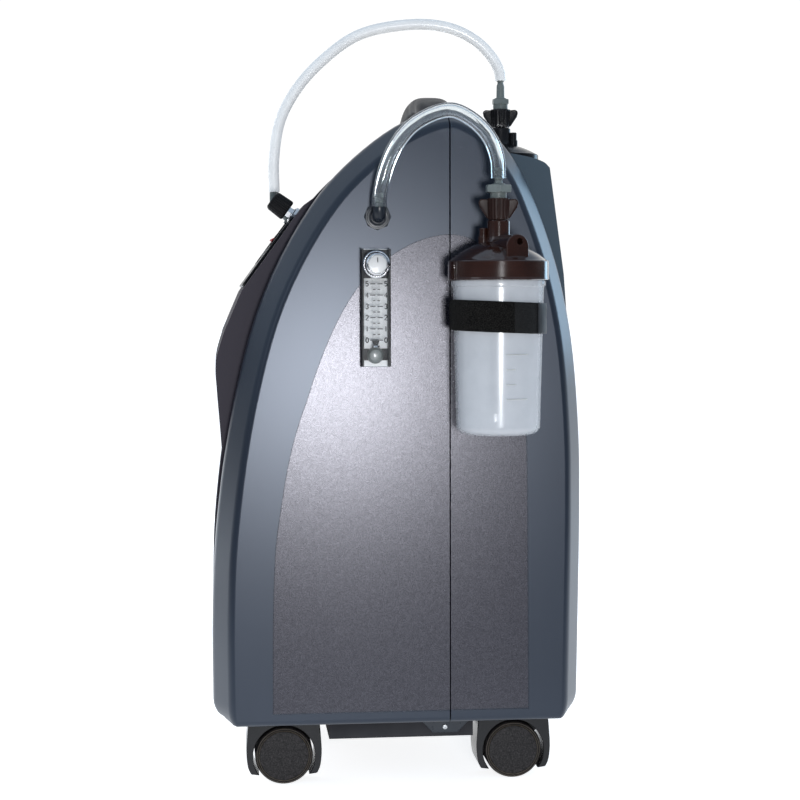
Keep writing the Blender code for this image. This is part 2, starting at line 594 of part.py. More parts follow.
def make_strap():
    """A band round the side jar's front, whose two ends enter slots in the rear shell."""
    x, y = SIDE_BOTTLE["x"], SIDE_BOTTLE["y"]
    wall = WING_FACE - 0.0040

    def edge(radius):
        """Half of the band's edge: from the slot, along the tangent, to the front of the jar."""
        reach = math.hypot(WING_FACE - x, STRAP_SLOT)
        touch = math.atan2(STRAP_SLOT, WING_FACE - x) - math.acos(radius / reach)
        points = [(x + radius * math.cos(touch * (1 - i / 10)), radius * math.sin(touch * (1 - i / 10)))
                  for i in range(11)]
        slope = (points[0][1] - STRAP_SLOT) / (points[0][0] - WING_FACE)
        return [(wall, STRAP_SLOT - slope * (WING_FACE - wall))] + points

    inner_r = SIDE_BOTTLE["jar_r"] + 0.0004
    inner = edge(inner_r)
    outer = edge(inner_r + STRAP_THICK)
    outer[0] = (wall, inner[0][1] + STRAP_THICK)
    loop = outer + [(px, -py) for px, py in outer[-2::-1]] + [(px, -py) for px, py in inner] + inner[-2::-1]
    add("bottle_strap", prism([(px, y + py) for px, py in loop], STRAP_LOW, STRAP_HIGH, "z"), "black")


# ---------------------------------------------------------------- hoses

def make_hose(name, route, radius, spacing, finish):
    """A free hose: a round tube along a smooth curve, with a point every two to three diameters."""
    fine = [Vector(p) for p in smooth(route, 12)]
    length = sum((b - a).length for a, b in zip(fine, fine[1:]))
    count = round(length / spacing)
    inner, travelled, step = [], 0.0, length / count
    for a, b in zip(fine, fine[1:]):
        travelled += (b - a).length
        if travelled >= step * (len(inner) + 1) and len(inner) < count - 1:
            inner.append(b)
    stub = Vector((0.0, 0.0, HOSE_STUB))
    points = [fine[0], fine[0] + stub] + inner + [fine[-1] + stub, fine[-1]]
    curve = bpy.data.curves.new(name, "CURVE")
    curve.dimensions = "3D"
    curve.bevel_depth = radius
    curve.bevel_resolution = 2
    curve.use_fill_caps = True
    spline = curve.splines.new("POLY")
    spline.points.add(len(points) - 1)
    for knot, place in zip(spline.points, points):
        knot.co = (*place, 1.0)
    add(name, curve, finish)


# ---------------------------------------------------------------- casters

def hood_mesh(side):
    """A caster's hood about its swivel axis: a cover over both wheels, a web between them, and the stem."""
    axle_y = -side * TRAIL
    around = arc((axle_y, WHEEL_R), WHEEL_R + 0.0018, -38, 218, 14)
    cover = [(axle_y + 0.0285, 0.0095), (axle_y + 0.0310, 0.0150), (axle_y + 0.0325, 0.0270),
             (axle_y + 0.0318, 0.0420), (axle_y + 0.0300, HOOD_TOP)]
    outline = cover + [(2 * axle_y - y, z) for y, z in cover[::-1]] + around[::-1]
    half = WEB_HALF + WHEEL_WIDE
    hood = prism(outline, -half, half)
    top = HOOD_TOP - 0.0010
    web_top = [(axle_y + 0.0240, 0.0400), (axle_y + 0.0200, top), (axle_y - 0.0200, top),
               (axle_y - 0.0240, 0.0400)]
    web = prism(arc((axle_y, WHEEL_R), 0.0090, 180, 360, 8) + web_top, -WEB_HALF, WEB_HALF)
    hood = join(hood, web, rod(STEM_R, HOOD_TOP - 0.0025, 0.0850, 16))
    hole = moved(rod(AXLE_R + 0.0001, -0.02, 0.02, 16), aim((1, 0, 0), (0.0, axle_y, WHEEL_R)))
    return cut(hood, hole)


def wheel_mesh():
    """A wheel about X with its inner face at 0, a blind bore, and one flat of its tread on the floor."""
    sides = 24
    r, w = WHEEL_R / math.cos(math.pi / sides), WHEEL_WIDE - 0.0006
    profile = [(0.0, 0.0115), (AXLE_R + RUN, 0.0115), (AXLE_R + RUN, 0.0), (r - 0.0018, 0.0), (r, 0.0018),
               (r, w - 0.0022), (r - 0.0022, w), (0.0, w)]
    return moved(lathe(profile, sides), aim((1, 0, 0)) @ Matrix.Rotation(math.pi / sides, 4, "Z"))


def make_casters():
    hoods = {1: hood_mesh(1), -1: hood_mesh(-1)}
    wheel = wheel_mesh()
    for name, (left, back) in CASTERS.items():
        x, y = left * CASTER_X, back * CASTER_Y
        axle_y = y - back * TRAIL
        add(name + "_hood", hoods[back].copy(), "black", (x, y, 0.0))
        reach = WEB_HALF + 0.0110
        axle = moved(rod(AXLE_R, -reach, reach, 16), aim((1, 0, 0)))
        add(name + "_axle", axle, "steel", (x, axle_y, WHEEL_R))
        for place, way in (("outer", left), ("inner", -left)):
            copy = wheel.copy()
            turn = (0.0, 0.0, 0.0) if way > 0 else (0.0, 0.0, math.pi)
            at = (x + way * (WEB_HALF + 0.0004), axle_y, WHEEL_R)
            add(name + "_wheel_" + place, copy, "black", at, turn)


# ---------------------------------------------------------------- back wall

def grille(hole, inner, outer, slots):
    """A plate that fills a hole in the back wall, with level slots."""
    (x0, z0), (x1, z1) = hole
    edge = 0.0006
    plate = box((x0 + edge, inner, z0 + edge), (x1 - edge, outer, z1 - edge))
    pitch = (z1 - z0 - 0.016) / slots
    for i in range(slots):
        z = z0 + 0.008 + pitch * (i + 0.5)
        slot = box((x0 + 0.009, 0.12, z - pitch * 0.25), (x1 - 0.009, 0.18, z + pitch * 0.25))
        plate = cut(plate, slot)
    return plate


def make_back():
    add("filter_door", grille(FILTER_HOLE, 0.1475, 0.1520, 8), "dark")
    add("vent_grille", grille(VENT_HOLE, 0.1475, 0.1510, 7), "dark")
    (x0, z0), (x1, z1) = FILTER_HOLE
    add("intake_filter", box((x0 + 0.004, 0.1335, z0 + 0.004), (x1 - 0.004, 0.1465, z1 - 0.004)), "foam")

    (x0, z0), (x1, z1) = INLET_HOLE
    mid_x, mid_z = (x0 + x1) / 2, (z0 + z1) / 2
    flange = box((x0 - 0.004, REAR_Y + GAP, z0 - 0.003), (x1 + 0.004, REAR_Y + 0.0025, z1 + 0.003))
    housing = box((x0 + 0.0005, 0.1260, z0 + 0.0005), (x1 - 0.0005, REAR_Y + 0.0015, z1 - 0.0005))
    socket = box((mid_x - 0.0120, 0.1290, mid_z - 0.0080), (mid_x + 0.0120, 0.1600, mid_z + 0.0080))
    inlet = cut(join(flange, housing), socket)
    for dx, dz in ((-0.007, -0.002), (0.007, -0.002), (0.0, 0.003)):
        x, z = mid_x + dx, mid_z + dz
        inlet = join(inlet, box((x - 0.001, 0.1280, z - 0.002), (x + 0.001, 0.1460, z + 0.002)))
    add("power_inlet", inlet, "black")
    button = lathe([(0.0, -0.0200), (0.0030, -0.0200), (0.0044, -0.0190), (0.0044, 0.0030), (0.0036, 0.0042),
                    (0.0, 0.0042)], 20)
    add("breaker_button", button, "black", BREAKER_AT, (math.radians(-90), 0.0, 0.0))


# ---------------------------------------------------------------- inside

def make_chassis():
    """A sheet-metal bridge over the compressor, with a hole under the fan."""
    sheet, half = 0.0020, 0.1020
    shelf = box((-half, -0.1180, SHELF_Z), (half, 0.0280, SHELF_Z + sheet))
    legs = [box((x, -0.1000, TRAY_TOP + GAP), (x + sheet, 0.0280, SHELF_Z + sheet))
            for x in (-half, half - sheet)]
    hole = moved(rod(0.0560, SHELF_Z - 0.01, SHELF_Z + 0.01, 32), Matrix.Translation((*FAN_AT, 0.0)))
    add("chassis", cut(join(shelf, *legs), hole), "aluminium")


def make_fan():
    half, low, high = 0.0600, SHELF_Z + 0.0020 + GAP, SHELF_Z + 0.0270
    frame = cut(box((-half, -half, low), (half, half, high)), rod(0.0565, low - 0.01, high + 0.01, 32))
    strut = box((-0.0575, -0.0030, low), (0.0575, 0.0030, low + 0.0040))
    post = rod(0.0025, low, low + 0.0180, 16)
    add("fan_housing", join(frame, strut, rod(0.0180, low, low + 0.0040), post), "black", (*FAN_AT, 0.0))
    hub = lathe([(0.0025 + RUN, low + 0.0045), (0.0190, low + 0.0045), (0.0190, high - 0.0010),
                 (0.0, high - 0.0010), (0.0, low + 0.0190), (0.0025 + RUN, low + 0.0190)], 28)
    rotor = hub
    mid = (low + high) / 2 + 0.0015
    for i in range(7):
        tilt = Matrix.Rotation(math.radians(32), 4, "X")
        blade = moved(box((0.0170, -0.0110, -0.0007), (0.0535, 0.0110, 0.0007)), tilt)
        place = Matrix.Rotation(2 * math.pi * i / 7, 4, "Z")
        rotor = join(rotor, moved(blade, Matrix.Translation((0, 0, mid)) @ place))
    add("fan_rotor", rotor, "black", (*FAN_AT, 0.0))


def make_compressor():
    """A twin-head motor compressor lying across the tray on four feet."""
    y, z = -0.0500, 0.1250
    motor = moved(rod(0.0440, -0.0600, 0.0600, 24), aim((1, 0, 0), (0.0, y, z)))
    pump = motor
    for side in (-1, 1):
        low, high = sorted((side * 0.0570, side * 0.0900))
        pump = join(pump, box((low, y - 0.0380, z - 0.0400), (high, y + 0.0380, z + 0.0400)))
        head = moved(rod(0.0160, z + 0.0300, z + 0.0950, 16), Matrix.Translation((side * 0.0735, y, 0.0)))
        cap = box((low - 0.0010, y - 0.0210, z + 0.0900), (high + 0.0010, y + 0.0210, z + 0.1050))
        pump = join(pump, head, cap)
        for front in (-1, 1):
            foot = moved(rod(0.0080, TRAY_TOP + GAP, z - 0.0390, 10),
                         Matrix.Translation((side * 0.0735, y + front * 0.0260, 0.0)))
            pump = join(pump, foot)
    add("compressor", pump, "aluminium")


def tank(radius, low, high):
    """A standing cylinder with a rolled edge at each end."""
    edge = 0.0030
    return lathe([(0.0, low), (radius, low), (radius, low + edge), (radius - 0.0015, low + 2 * edge),
                  (radius - 0.0015, high - 2 * edge), (radius, high - edge), (radius, high), (0.0, high)], 20)


def make_gas_side():
    for name, x in (("sieve_bed_left", 0.0660), ("sieve_bed_right", -0.0660)):
        add(name, tank(0.0320, TRAY_TOP + GAP, 0.3620), "aluminium", (x, 0.0920, 0.0))
    add("oxygen_tank", tank(0.0300, TRAY_TOP + GAP, 0.3000), "aluminium", (0.0, 0.0920, 0.0))
    manifold = box((-0.0950, 0.0750, 0.3620 + GAP), (0.0950, 0.1150, 0.3900))
    for x in (-0.0450, -0.0150, 0.0150, 0.0450):
        coil = moved(rod(0.0095, -0.0250, 0.0010, 20), aim((0, 1, 0), (x, 0.0750, 0.3762)))
        manifold = join(manifold, coil)
    add("valve_manifold", manifold, "aluminium")
    board = box((-0.0750, -0.0400, -0.0008), (0.0750, 0.0400, 0.0008))
    add("control_board", board, "board", on_facet(0.0, 0.0, -0.0180), (SLOPE, 0.0, 0.0))


# ---------------------------------------------------------------- assembly

clear_scene()
FRAME = bpy.data.objects.new("frame_origin", None)
FRAME.location = (CASE_SHIFT, 0.0, 0.0)
bpy.context.scene.collection.objects.link(FRAME)

make_tray()
make_shells()
make_handle()
make_panel()
make_valve()
make_outlets()
make_flowmeter()
make_bottle(SIDE_BOTTLE, "brown")
make_bottle(REAR_BOTTLE, "black")
make_strap()
make_hose("side_hose", SIDE_HOSE, SIDE_HOSE_R, 0.026, "clear")
make_hose("rear_hose", REAR_HOSE, REAR_HOSE_R, 0.022, "clear")
make_casters()
make_back()
make_chassis()
make_fan()
make_compressor()
make_gas_side()
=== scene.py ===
"""The looks of the dual-flow oxygen concentrator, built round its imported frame.

Lengths are in metres. Shapes are drawn in the case's own frame, whose middle plane is X = 0, and every new
piece is then placed at SHIFT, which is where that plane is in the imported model.
"""
import math

import bmesh
import bpy
from mathutils import Matrix, Vector, noise


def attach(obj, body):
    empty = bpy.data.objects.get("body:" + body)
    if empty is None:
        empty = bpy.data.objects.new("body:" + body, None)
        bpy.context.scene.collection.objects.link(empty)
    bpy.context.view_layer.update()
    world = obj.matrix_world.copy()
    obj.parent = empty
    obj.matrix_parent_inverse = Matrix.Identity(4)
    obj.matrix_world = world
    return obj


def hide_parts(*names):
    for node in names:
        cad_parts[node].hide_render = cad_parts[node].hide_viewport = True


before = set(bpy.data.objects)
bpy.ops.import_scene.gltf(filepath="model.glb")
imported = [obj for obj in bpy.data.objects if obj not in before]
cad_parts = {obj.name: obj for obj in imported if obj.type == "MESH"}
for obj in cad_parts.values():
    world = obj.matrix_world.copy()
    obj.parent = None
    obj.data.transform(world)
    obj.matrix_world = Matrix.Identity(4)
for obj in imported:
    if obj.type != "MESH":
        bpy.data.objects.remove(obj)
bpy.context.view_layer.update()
SHIFT = Vector((-0.0425, 0.0, 0.0))
MERGE = 1e-6
LEFT, REARWARD, DOWN = (1, 0, 0), (0, 1, 0), (0, 0, -1)

# ---------------------------------------------------------------- helpers


def mesh_of(bm):
    bmesh.ops.recalc_face_normals(bm, faces=bm.faces)
    mesh = bpy.data.meshes.new("piece")
    bm.to_mesh(mesh)
    bm.free()
    return mesh


def add(name, mesh, skin, body="casing", slot=None, stands_for=(), at=(0.0, 0.0, 0.0), turn=None, sharp=32.0):
    """One new piece on a body, placed in the case's frame."""
    piece = bpy.data.objects.new(name, mesh)
    bpy.context.scene.collection.objects.link(piece)
    matrix = Matrix.Translation(Vector(at) + SHIFT)
    if turn is not None:
        matrix = matrix @ turn.to_4x4()
    piece.matrix_world = matrix
    mesh.shade_smooth()
    mesh.set_sharp_from_angle(angle=math.radians(sharp))
    mesh.materials.clear()
    mesh.materials.append(skin)
    step = piece.modifiers.new("normals", "WEIGHTED_NORMAL")
    step.keep_sharp, step.weight = True, 80
    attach(piece, body)
    if stands_for:
        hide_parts(*stands_for)
    return piece


def combine(base, tool, operation):
    """A boolean of two meshes."""
    pair = [bpy.data.objects.new("boolean", mesh) for mesh in (base, tool)]
    for item in pair:
        bpy.context.scene.collection.objects.link(item)
    step = pair[0].modifiers.new("boolean", "BOOLEAN")
    step.operation = operation
    step.solver = "EXACT"
    step.object = pair[1]
    graph = bpy.context.evaluated_depsgraph_get()
    result = bpy.data.meshes.new_from_object(pair[0].evaluated_get(graph))
    for item in pair:
        bpy.data.objects.remove(item, do_unlink=True)
    return result


def join(*meshes):
    result = meshes[0]
    for other in meshes[1:]:
        result = combine(result, other, "UNION")
    return result


def cut(mesh, *tools):
    for tool in tools:
        mesh = combine(mesh, tool, "DIFFERENCE")
    return mesh


def gather(*meshes):
    """Separate solids in one mesh."""
    bm = bmesh.new()
    for mesh in meshes:
        bm.from_mesh(mesh)
    return mesh_of(bm)


def loft(rings, closed_ends=True, loop=False):
    """A skin over rings of points, with a face on each end or joined end to start."""
    bm = bmesh.new()
    rows = [[bm.verts.new(point) for point in ring] for ring in rings]
    pairs = list(zip(rows, rows[1:])) + ([(rows[-1], rows[0])] if loop else [])
    for low, high in pairs:
        for i in range(len(low)):
            k = (i + 1) % len(low)
            bm.faces.new((low[i], low[k], high[k], high[i]))
    if closed_ends and not loop:
        bm.faces.new(rows[0])
        bm.faces.new(rows[-1])
    return mesh_of(bm)


def prism(outline, low, high, axis="x"):
    """A flat outline, pushed out along an axis from low to high."""
    place = {"x": lambda p, d: (d, p[0], p[1]), "y": lambda p, d: (p[0], d, p[1]),
             "z": lambda p, d: (p[0], p[1], d)}[axis]
    return loft([[place(p, depth) for p in outline] for depth in (low, high)])


def box(low, high):
    outline = [(low[0], low[1]), (high[0], low[1]), (high[0], high[1]), (low[0], high[1])]
    return prism(outline, low[2], high[2], "z")


def rounded(mesh, radius, steps=3, angle=40.0):
    """Rounds every edge that turns by more than an angle."""
    bm = bmesh.new()
    bm.from_mesh(mesh)
    bmesh.ops.remove_doubles(bm, verts=bm.verts, dist=MERGE)
    edges = [e for e in bm.edges if len(e.link_faces) == 2 and e.calc_face_angle(0.0) > math.radians(angle)]
    bmesh.ops.bevel(bm, geom=edges, offset=radius, segments=steps, profile=0.5, affect="EDGES",
                    clamp_overlap=True)
    return mesh_of(bm)


def lathe(profile, sides=64, flute=None):
    """Turns (radius, height) points about Z. flute scales a point's radius by its angle and height."""
    bm = bmesh.new()
    rows = []
    for radius, height in profile:
        if radius == 0.0:
            rows.append([bm.verts.new((0.0, 0.0, height))] * sides)
            continue
        row = []
        for i in range(sides):
            a = 2 * math.pi * i / sides
            r = radius * (flute(a, height) if flute else 1.0)
            row.append(bm.verts.new((r * math.cos(a), r * math.sin(a), height)))
        rows.append(row)
    pairs = list(zip(rows, rows[1:])) + ([(rows[-1], rows[0])] if profile[0][0] > 0.0 else [])
    for low, high in pairs:
        for i in range(sides):
            k = (i + 1) % sides
            corners = list(dict.fromkeys((low[i], low[k], high[k], high[i])))
            if len(corners) > 2:
                bm.faces.new(corners)
    return mesh_of(bm)


def rod(radius, low, high, sides=48):
    return lathe([(0.0, low), (radius, low), (radius, high), (0.0, high)], sides)


def button(radius, low, high, edge, sides=64):
    """A rod with a rounded top edge."""
    top = [(radius - edge + edge * math.sin(a), high - edge + edge * math.cos(a))
           for a in (math.pi / 2 * (1 - i / 4) for i in range(5))]
    return lathe([(0.0, low), (radius, low)] + top + [(0.0, high)], sides)


def moved(mesh, matrix):
    copy = mesh.copy()
    copy.transform(matrix)
    return copy


def shifted(mesh, *offset):
    return moved(mesh, Matrix.Translation(offset))


def aim(direction, at=(0.0, 0.0, 0.0)):
    return Matrix.Translation(at) @ Vector(direction).to_track_quat("Z", "Y").to_matrix().to_4x4()


def bore(radius, direction, at, depth=0.01, sides=32):
    """A rod along a direction, as deep on both sides of a point."""
    return moved(rod(radius, -depth, depth, sides), aim(direction, at))


def turned(profile, direction, at=(0.0, 0.0, 0.0), sides=64):
    """A lathed shape that stands along a direction."""
    return moved(lathe(profile, sides), aim(direction, at))


def smooth(points, steps):
    """Points on a centripetal Catmull-Rom curve through the given ones."""
    size = len(points[0])
    route = [Vector((*p, 0.0)) if size == 2 else Vector(p) for p in points]
    route = [route[0] * 2 - route[1]] + route + [route[-1] * 2 - route[-2]]
    found = []
    for a, b, c, d in zip(route, route[1:], route[2:], route[3:]):
        t1 = math.sqrt((b - a).length)
        t2 = t1 + math.sqrt((c - b).length)
        t3 = t2 + math.sqrt((d - c).length)
        for i in range(steps):
            t = t1 + (t2 - t1) * i / steps
            ab = a.lerp(b, t / t1)
            bc = b.lerp(c, (t - t1) / (t2 - t1))
            cd = c.lerp(d, (t - t2) / (t3 - t2))
            found.append(ab.lerp(bc, t / t2).lerp(bc.lerp(cd, (t - t1) / (t3 - t1)), (t - t1) / (t2 - t1)))
    found.append(route[-2])
    return [tuple(p)[:size] for p in found]


def drawn_in(points, distance):
    """An open curve, run clockwise, moved towards its inner side by a distance. Its ends stay level."""
    ways = [(Vector(b) - Vector(a)).normalized() for a, b in zip(points, points[1:])]
    moved_points = []
    for i, point in enumerate(points):
        before, after = ways[max(i - 1, 0)], ways[min(i, len(ways) - 1)]
        inward = Vector((before.y + after.y, -before.x - after.x))
        if i in (0, len(points) - 1):
            inward = Vector((math.copysign(2.0, inward.x), 0.0))
        moved_points.append(tuple(Vector(point) + inward * distance / (1.0 + before.dot(after))))
    return moved_points


def inset(outline, distance):
    """A closed outline, run clockwise, drawn in by a distance."""
    count, result = len(outline), []
    for i in range(count):
        before = (Vector(outline[i]) - Vector(outline[i - 1])).normalized()
        after = (Vector(outline[(i + 1) % count]) - Vector(outline[i])).normalized()
        inward = Vector((before.y + after.y, -before.x - after.x))
        result.append(tuple(Vector(outline[i]) + inward * distance / max(0.4, 1.0 + before.dot(after))))
    return result


def arc(centre, radius, start, end, steps):
    """Points on part of a circle, or of an ellipse if the radius is a pair, between two angles in degrees."""
    wide, tall = radius if isinstance(radius, tuple) else (radius, radius)
    turns = [math.radians(start + (end - start) * i / steps) for i in range(steps + 1)]
    return [(centre[0] + wide * math.cos(a), centre[1] + tall * math.sin(a)) for a in turns]


def sweep(path, radius, sides=24, bore=None):
    """A tube along a path, hollow if it has a bore. Its frames are carried along without twist."""
    points = [Vector(p) for p in path]
    ways = [(points[min(i + 1, len(points) - 1)] - points[max(i - 1, 0)]).normalized()
            for i in range(len(points))]
    side = ways[0].orthogonal().normalized()
    rings = {"out": [], "in": []}
    for i, (place, way) in enumerate(zip(points, ways)):
        side = (side - way * side.dot(way)).normalized()
        across = way.cross(side)
        for key, size in (("out", radius), ("in", bore)):
            if size is not None:
                r = size(i / (len(points) - 1)) if callable(size) else size
                rings[key].append([tuple(place + (side * math.cos(a) + across * math.sin(a)) * r)
                                   for a in (2 * math.pi * k / sides for k in range(sides))])
    if bore is None:
        return loft(rings["out"])
    return loft(rings["out"] + rings["in"][::-1], loop=True)


def bend(start, corner, end, radius, steps=10):
    """The path of a pipe that turns a corner with a given bend radius."""
    start, corner, end = Vector(start), Vector(corner), Vector(end)
    first, second = (corner - start).normalized(), (end - corner).normalized()
    turn = first.angle(second)
    enter = corner - first * radius * math.tan(turn / 2)
    centre = enter + (second - first * second.dot(first)) * (radius / math.sin(turn))
    normal = first.cross(second).normalized()
    path = [start.lerp(enter, i / 4) for i in range(4)]
    for i in range(steps + 1):
        path.append(centre + Matrix.Rotation(turn * i / steps, 3, normal) @ (enter - centre))
    return path + [path[-1].lerp(end, i / 4) for i in range(1, 5)]


# ---------------------------------------------------------------- materials

RANGE_SOCKETS = ("From Min", "From Max", "To Min", "To Max")


class Skin:
    """A procedural material, built up node by node."""

    def __init__(self, name, colour, roughness, metallic=0.0, **inputs):
        self.material = bpy.data.materials.new(name)
        self.material.use_nodes = True
        self.tree = self.material.node_tree
        self.shader = self.tree.nodes["Principled BSDF"]
        self.place = self.tree.nodes.new("ShaderNodeTexCoord").outputs["Object"]
        self.put("Base Color", (*colour, 1.0))
        self.put("Roughness", roughness)
        self.put("Metallic", metallic)
        self.colour, self.roughness = colour, roughness
        for key, value in inputs.items():
            self.put(key.replace("_", " "), value)
        self.normal = None

    def put(self, socket, value):
        if isinstance(value, bpy.types.NodeSocket):
            self.tree.links.new(value, self.shader.inputs[socket])
        else:
            self.shader.inputs[socket].default_value = value

    def node(self, kind, **settings):
        made = self.tree.nodes.new(kind)
        for key, value in settings.items():
            if key in made.inputs:
                if isinstance(value, bpy.types.NodeSocket):
                    self.tree.links.new(value, made.inputs[key])
                else:
                    made.inputs[key].default_value = value
            else:
                setattr(made, key, value)
        return made

    def stretched(self, scale):
        """The object's coordinates, scaled differently along each axis."""
        made = self.node("ShaderNodeMapping")
        self.tree.links.new(self.place, made.inputs["Vector"])
        made.inputs["Scale"].default_value = scale
        return made.outputs["Vector"]

    def grain(self, scale, detail=4.0, rough=0.55, stretch=None):
        made = self.node("ShaderNodeTexNoise", Scale=scale, Detail=detail, Roughness=rough)
        self.tree.links.new(self.stretched(stretch) if stretch else self.place, made.inputs["Vector"])
        return made.outputs["Fac"]

    def cells(self, scale, feature="F1", output="Distance", stretch=None):
        made = self.node("ShaderNodeTexVoronoi", Scale=scale, feature=feature)
        self.tree.links.new(self.stretched(stretch) if stretch else self.place, made.inputs["Vector"])
        return made.outputs[output]

    def ramp(self, value, low, high, out_low, out_high):
        made = self.node("ShaderNodeMapRange")
        self.tree.links.new(value, made.inputs["Value"])
        for socket, number in zip(RANGE_SOCKETS, (low, high, out_low, out_high)):
            made.inputs[socket].default_value = number
        return made.outputs["Result"]

    def mix(self, amount, first, second):
        made = self.node("ShaderNodeMix", data_type="RGBA")
        sockets = [s for s in made.inputs if s.enabled]
        for socket, value in zip(sockets, (amount, first, second)):
            if isinstance(value, bpy.types.NodeSocket):
                self.tree.links.new(value, socket)
            else:
                socket.default_value = value if isinstance(value, float) else (*value, 1.0)
        return [s for s in made.outputs if s.enabled][0]

    def bump(self, height, distance, strength=1.0):
        made = self.node("ShaderNodeBump", Strength=strength, Distance=distance)
        self.tree.links.new(height, made.inputs["Height"])
        if self.normal is not None:
            self.tree.links.new(self.normal, made.inputs["Normal"])
        self.normal = made.outputs["Normal"]
        self.tree.links.new(self.normal, self.shader.inputs["Normal"])
        return self

    def mottled(self, scale, amount, detail=5.0):
        """Slow changes of lightness and of gloss, as moulding and handling leave."""
        lighter = tuple(min(1.0, c * (1.0 + amount)) for c in self.colour)
        darker = tuple(c * (1.0 - amount) for c in self.colour)
        spots = self.ramp(self.grain(scale, detail), 0.3, 0.7, 0.0, 1.0)
        self.put("Base Color", self.mix(spots, darker, lighter))
        smears = self.grain(scale * 2.3, 3.0)
        smoother, rougher = self.roughness * 0.82, min(1.0, self.roughness * 1.2)
        self.put("Roughness", self.ramp(smears, 0.3, 0.7, smoother, rougher))
        return self

    def worn(self, colour, amount=0.35):
        """Lighter edges, where the geometry is convex."""
        edge = self.node("ShaderNodeNewGeometry").outputs["Pointiness"]
        flat, sharp = 0.53, 0.60
        mask = self.ramp(edge, flat, sharp, 0.0, amount)
        source = self.shader.inputs["Base Color"]
        first = source.links[0].from_socket if source.is_linked else self.colour
        self.put("Base Color", self.mix(mask, first, colour))
        return self


# The centre box: the X where it meets a wing, the Y span over which its colour changes, and its two colours,
# painted shade at the front and painted reflected light towards the back.
BOX_EDGE, BOX_PAINTED_LIGHT_SPAN = (0.1113, 0.1116), (0.02, 0.10)
BOX_FRONT_PAINTED_SHADE, BOX_REAR_PAINTED_LIGHT = (0.042, 0.036, 0.043), (0.058, 0.080, 0.100)

BLACK_MOTTLE, BLACK_GRAIN = (24.0, 0.14), (1900.0, 3.0, 0.00006, 0.5)
BLACK_EDGES = ((0.05, 0.05, 0.054), 0.25)
# Key, name, colour, roughness, metallic, other inputs, (mottle's scale, amount),
# (grain's scale, detail, height, strength and perhaps stretch), (worn edges' colour, amount).
PLAIN_SKINS = [
    ("dark", "dark", (0.010, 0.010, 0.013), 0.60, 0.0, {"Specular_IOR_Level": 0.15}, BLACK_MOTTLE,
     BLACK_GRAIN, BLACK_EDGES),
    ("black", "black", (0.004, 0.004, 0.0045), 0.46, 0.0, {"Specular_IOR_Level": 0.12}, BLACK_MOTTLE,
     BLACK_GRAIN, BLACK_EDGES),
    ("black_gloss", "black_gloss", (0.006, 0.006, 0.007), 0.22, 0.0, {"Specular_IOR_Level": 0.3}, BLACK_MOTTLE,
     BLACK_GRAIN, BLACK_EDGES),
    ("panel", "panel", (0.006, 0.006, 0.007), 0.34, 0.0, {"Specular_IOR_Level": 0.3}, BLACK_MOTTLE,
     BLACK_GRAIN, BLACK_EDGES),
    ("charcoal", "charcoal", (0.009, 0.0095, 0.012), 0.48, 0.0, {"Specular_IOR_Level": 0.22}, BLACK_MOTTLE,
     BLACK_GRAIN, BLACK_EDGES),
    ("red", "red_rocker", (0.55, 0.012, 0.010), 0.28, 0.0, {"Coat_Weight": 0.4}, (80.0, 0.12),
     (1500.0, 2.0, 0.00004, 0.3), None),
    ("chrome", "chrome", (0.72, 0.72, 0.73), 0.10, 1.0, {}, (60.0, 0.08), (500.0, 2.0, 0.00002, 0.25), None),
    ("steel", "turned_steel", (0.50, 0.50, 0.49), 0.28, 1.0, {"Anisotropic": 0.4}, (70.0, 0.14),
     (300.0, 3.0, 0.00003, 0.4, (1.0, 1.0, 14.0)), ((0.75, 0.75, 0.73), 0.3)),
    ("pressed", "pressed_steel", (0.42, 0.43, 0.44), 0.36, 1.0, {}, (55.0, 0.16),
     (260.0, 4.0, 0.00006, 0.35), None),
    ("aluminium", "cast_aluminium", (0.46, 0.47, 0.48), 0.42, 1.0, {}, (40.0, 0.16),
     (420.0, 5.0, 0.00015, 0.5), ((0.7, 0.7, 0.7), 0.3)),
    ("brown", "brown_lid", (0.022, 0.0070, 0.0042), 0.15, 0.0,
     {"Specular_IOR_Level": 0.45, "Coat_Weight": 0.5, "Coat_Roughness": 0.05}, (35.0, 0.25),
     (700.0, 3.0, 0.00006, 0.3), ((0.05, 0.022, 0.015), 0.3)),
    ("satin", "brown_satin", (0.017, 0.0056, 0.0036), 0.42, 0.0, {"Specular_IOR_Level": 0.18}, (35.0, 0.25),
     (700.0, 3.0, 0.00006, 0.3), ((0.06, 0.028, 0.020), 0.4)),
    ("fitting", "grey_green_fitting", (0.13, 0.15, 0.145), 0.33, 0.0, {"Coat_Weight": 0.15}, (90.0, 0.16),
     (1300.0, 3.0, 0.00005, 0.4), ((0.28, 0.30, 0.29), 0.35)),
    ("nut", "slate_nut", (0.012, 0.016, 0.023), 0.30, 0.0, {"Specular_IOR_Level": 0.35}, (70.0, 0.15),
     (1200.0, 3.0, 0.00005, 0.35), None),
    ("pale", "pale_plastic", (0.46, 0.46, 0.455), 0.34, 0.0, {"Coat_Weight": 0.1}, (60.0, 0.05),
     (1500.0, 3.0, 0.00005, 0.4), None),
    ("scale", "scale_plate", (0.90, 0.91, 0.91), 0.6, 0.0, {"Specular_IOR_Level": 0.1}, (50.0, 0.04),
     (1600.0, 2.0, 0.00003, 0.3), None),
    ("ink", "scale_ink", (0.012, 0.012, 0.014), 0.45, 0.0, {}, (900.0, 0.3), None, None),
    ("rim", "wheel_rim", (0.060, 0.048, 0.034), 0.36, 0.2, {}, (150.0, 0.3),
     (900.0, 3.0, 0.00006, 0.4), None),
]


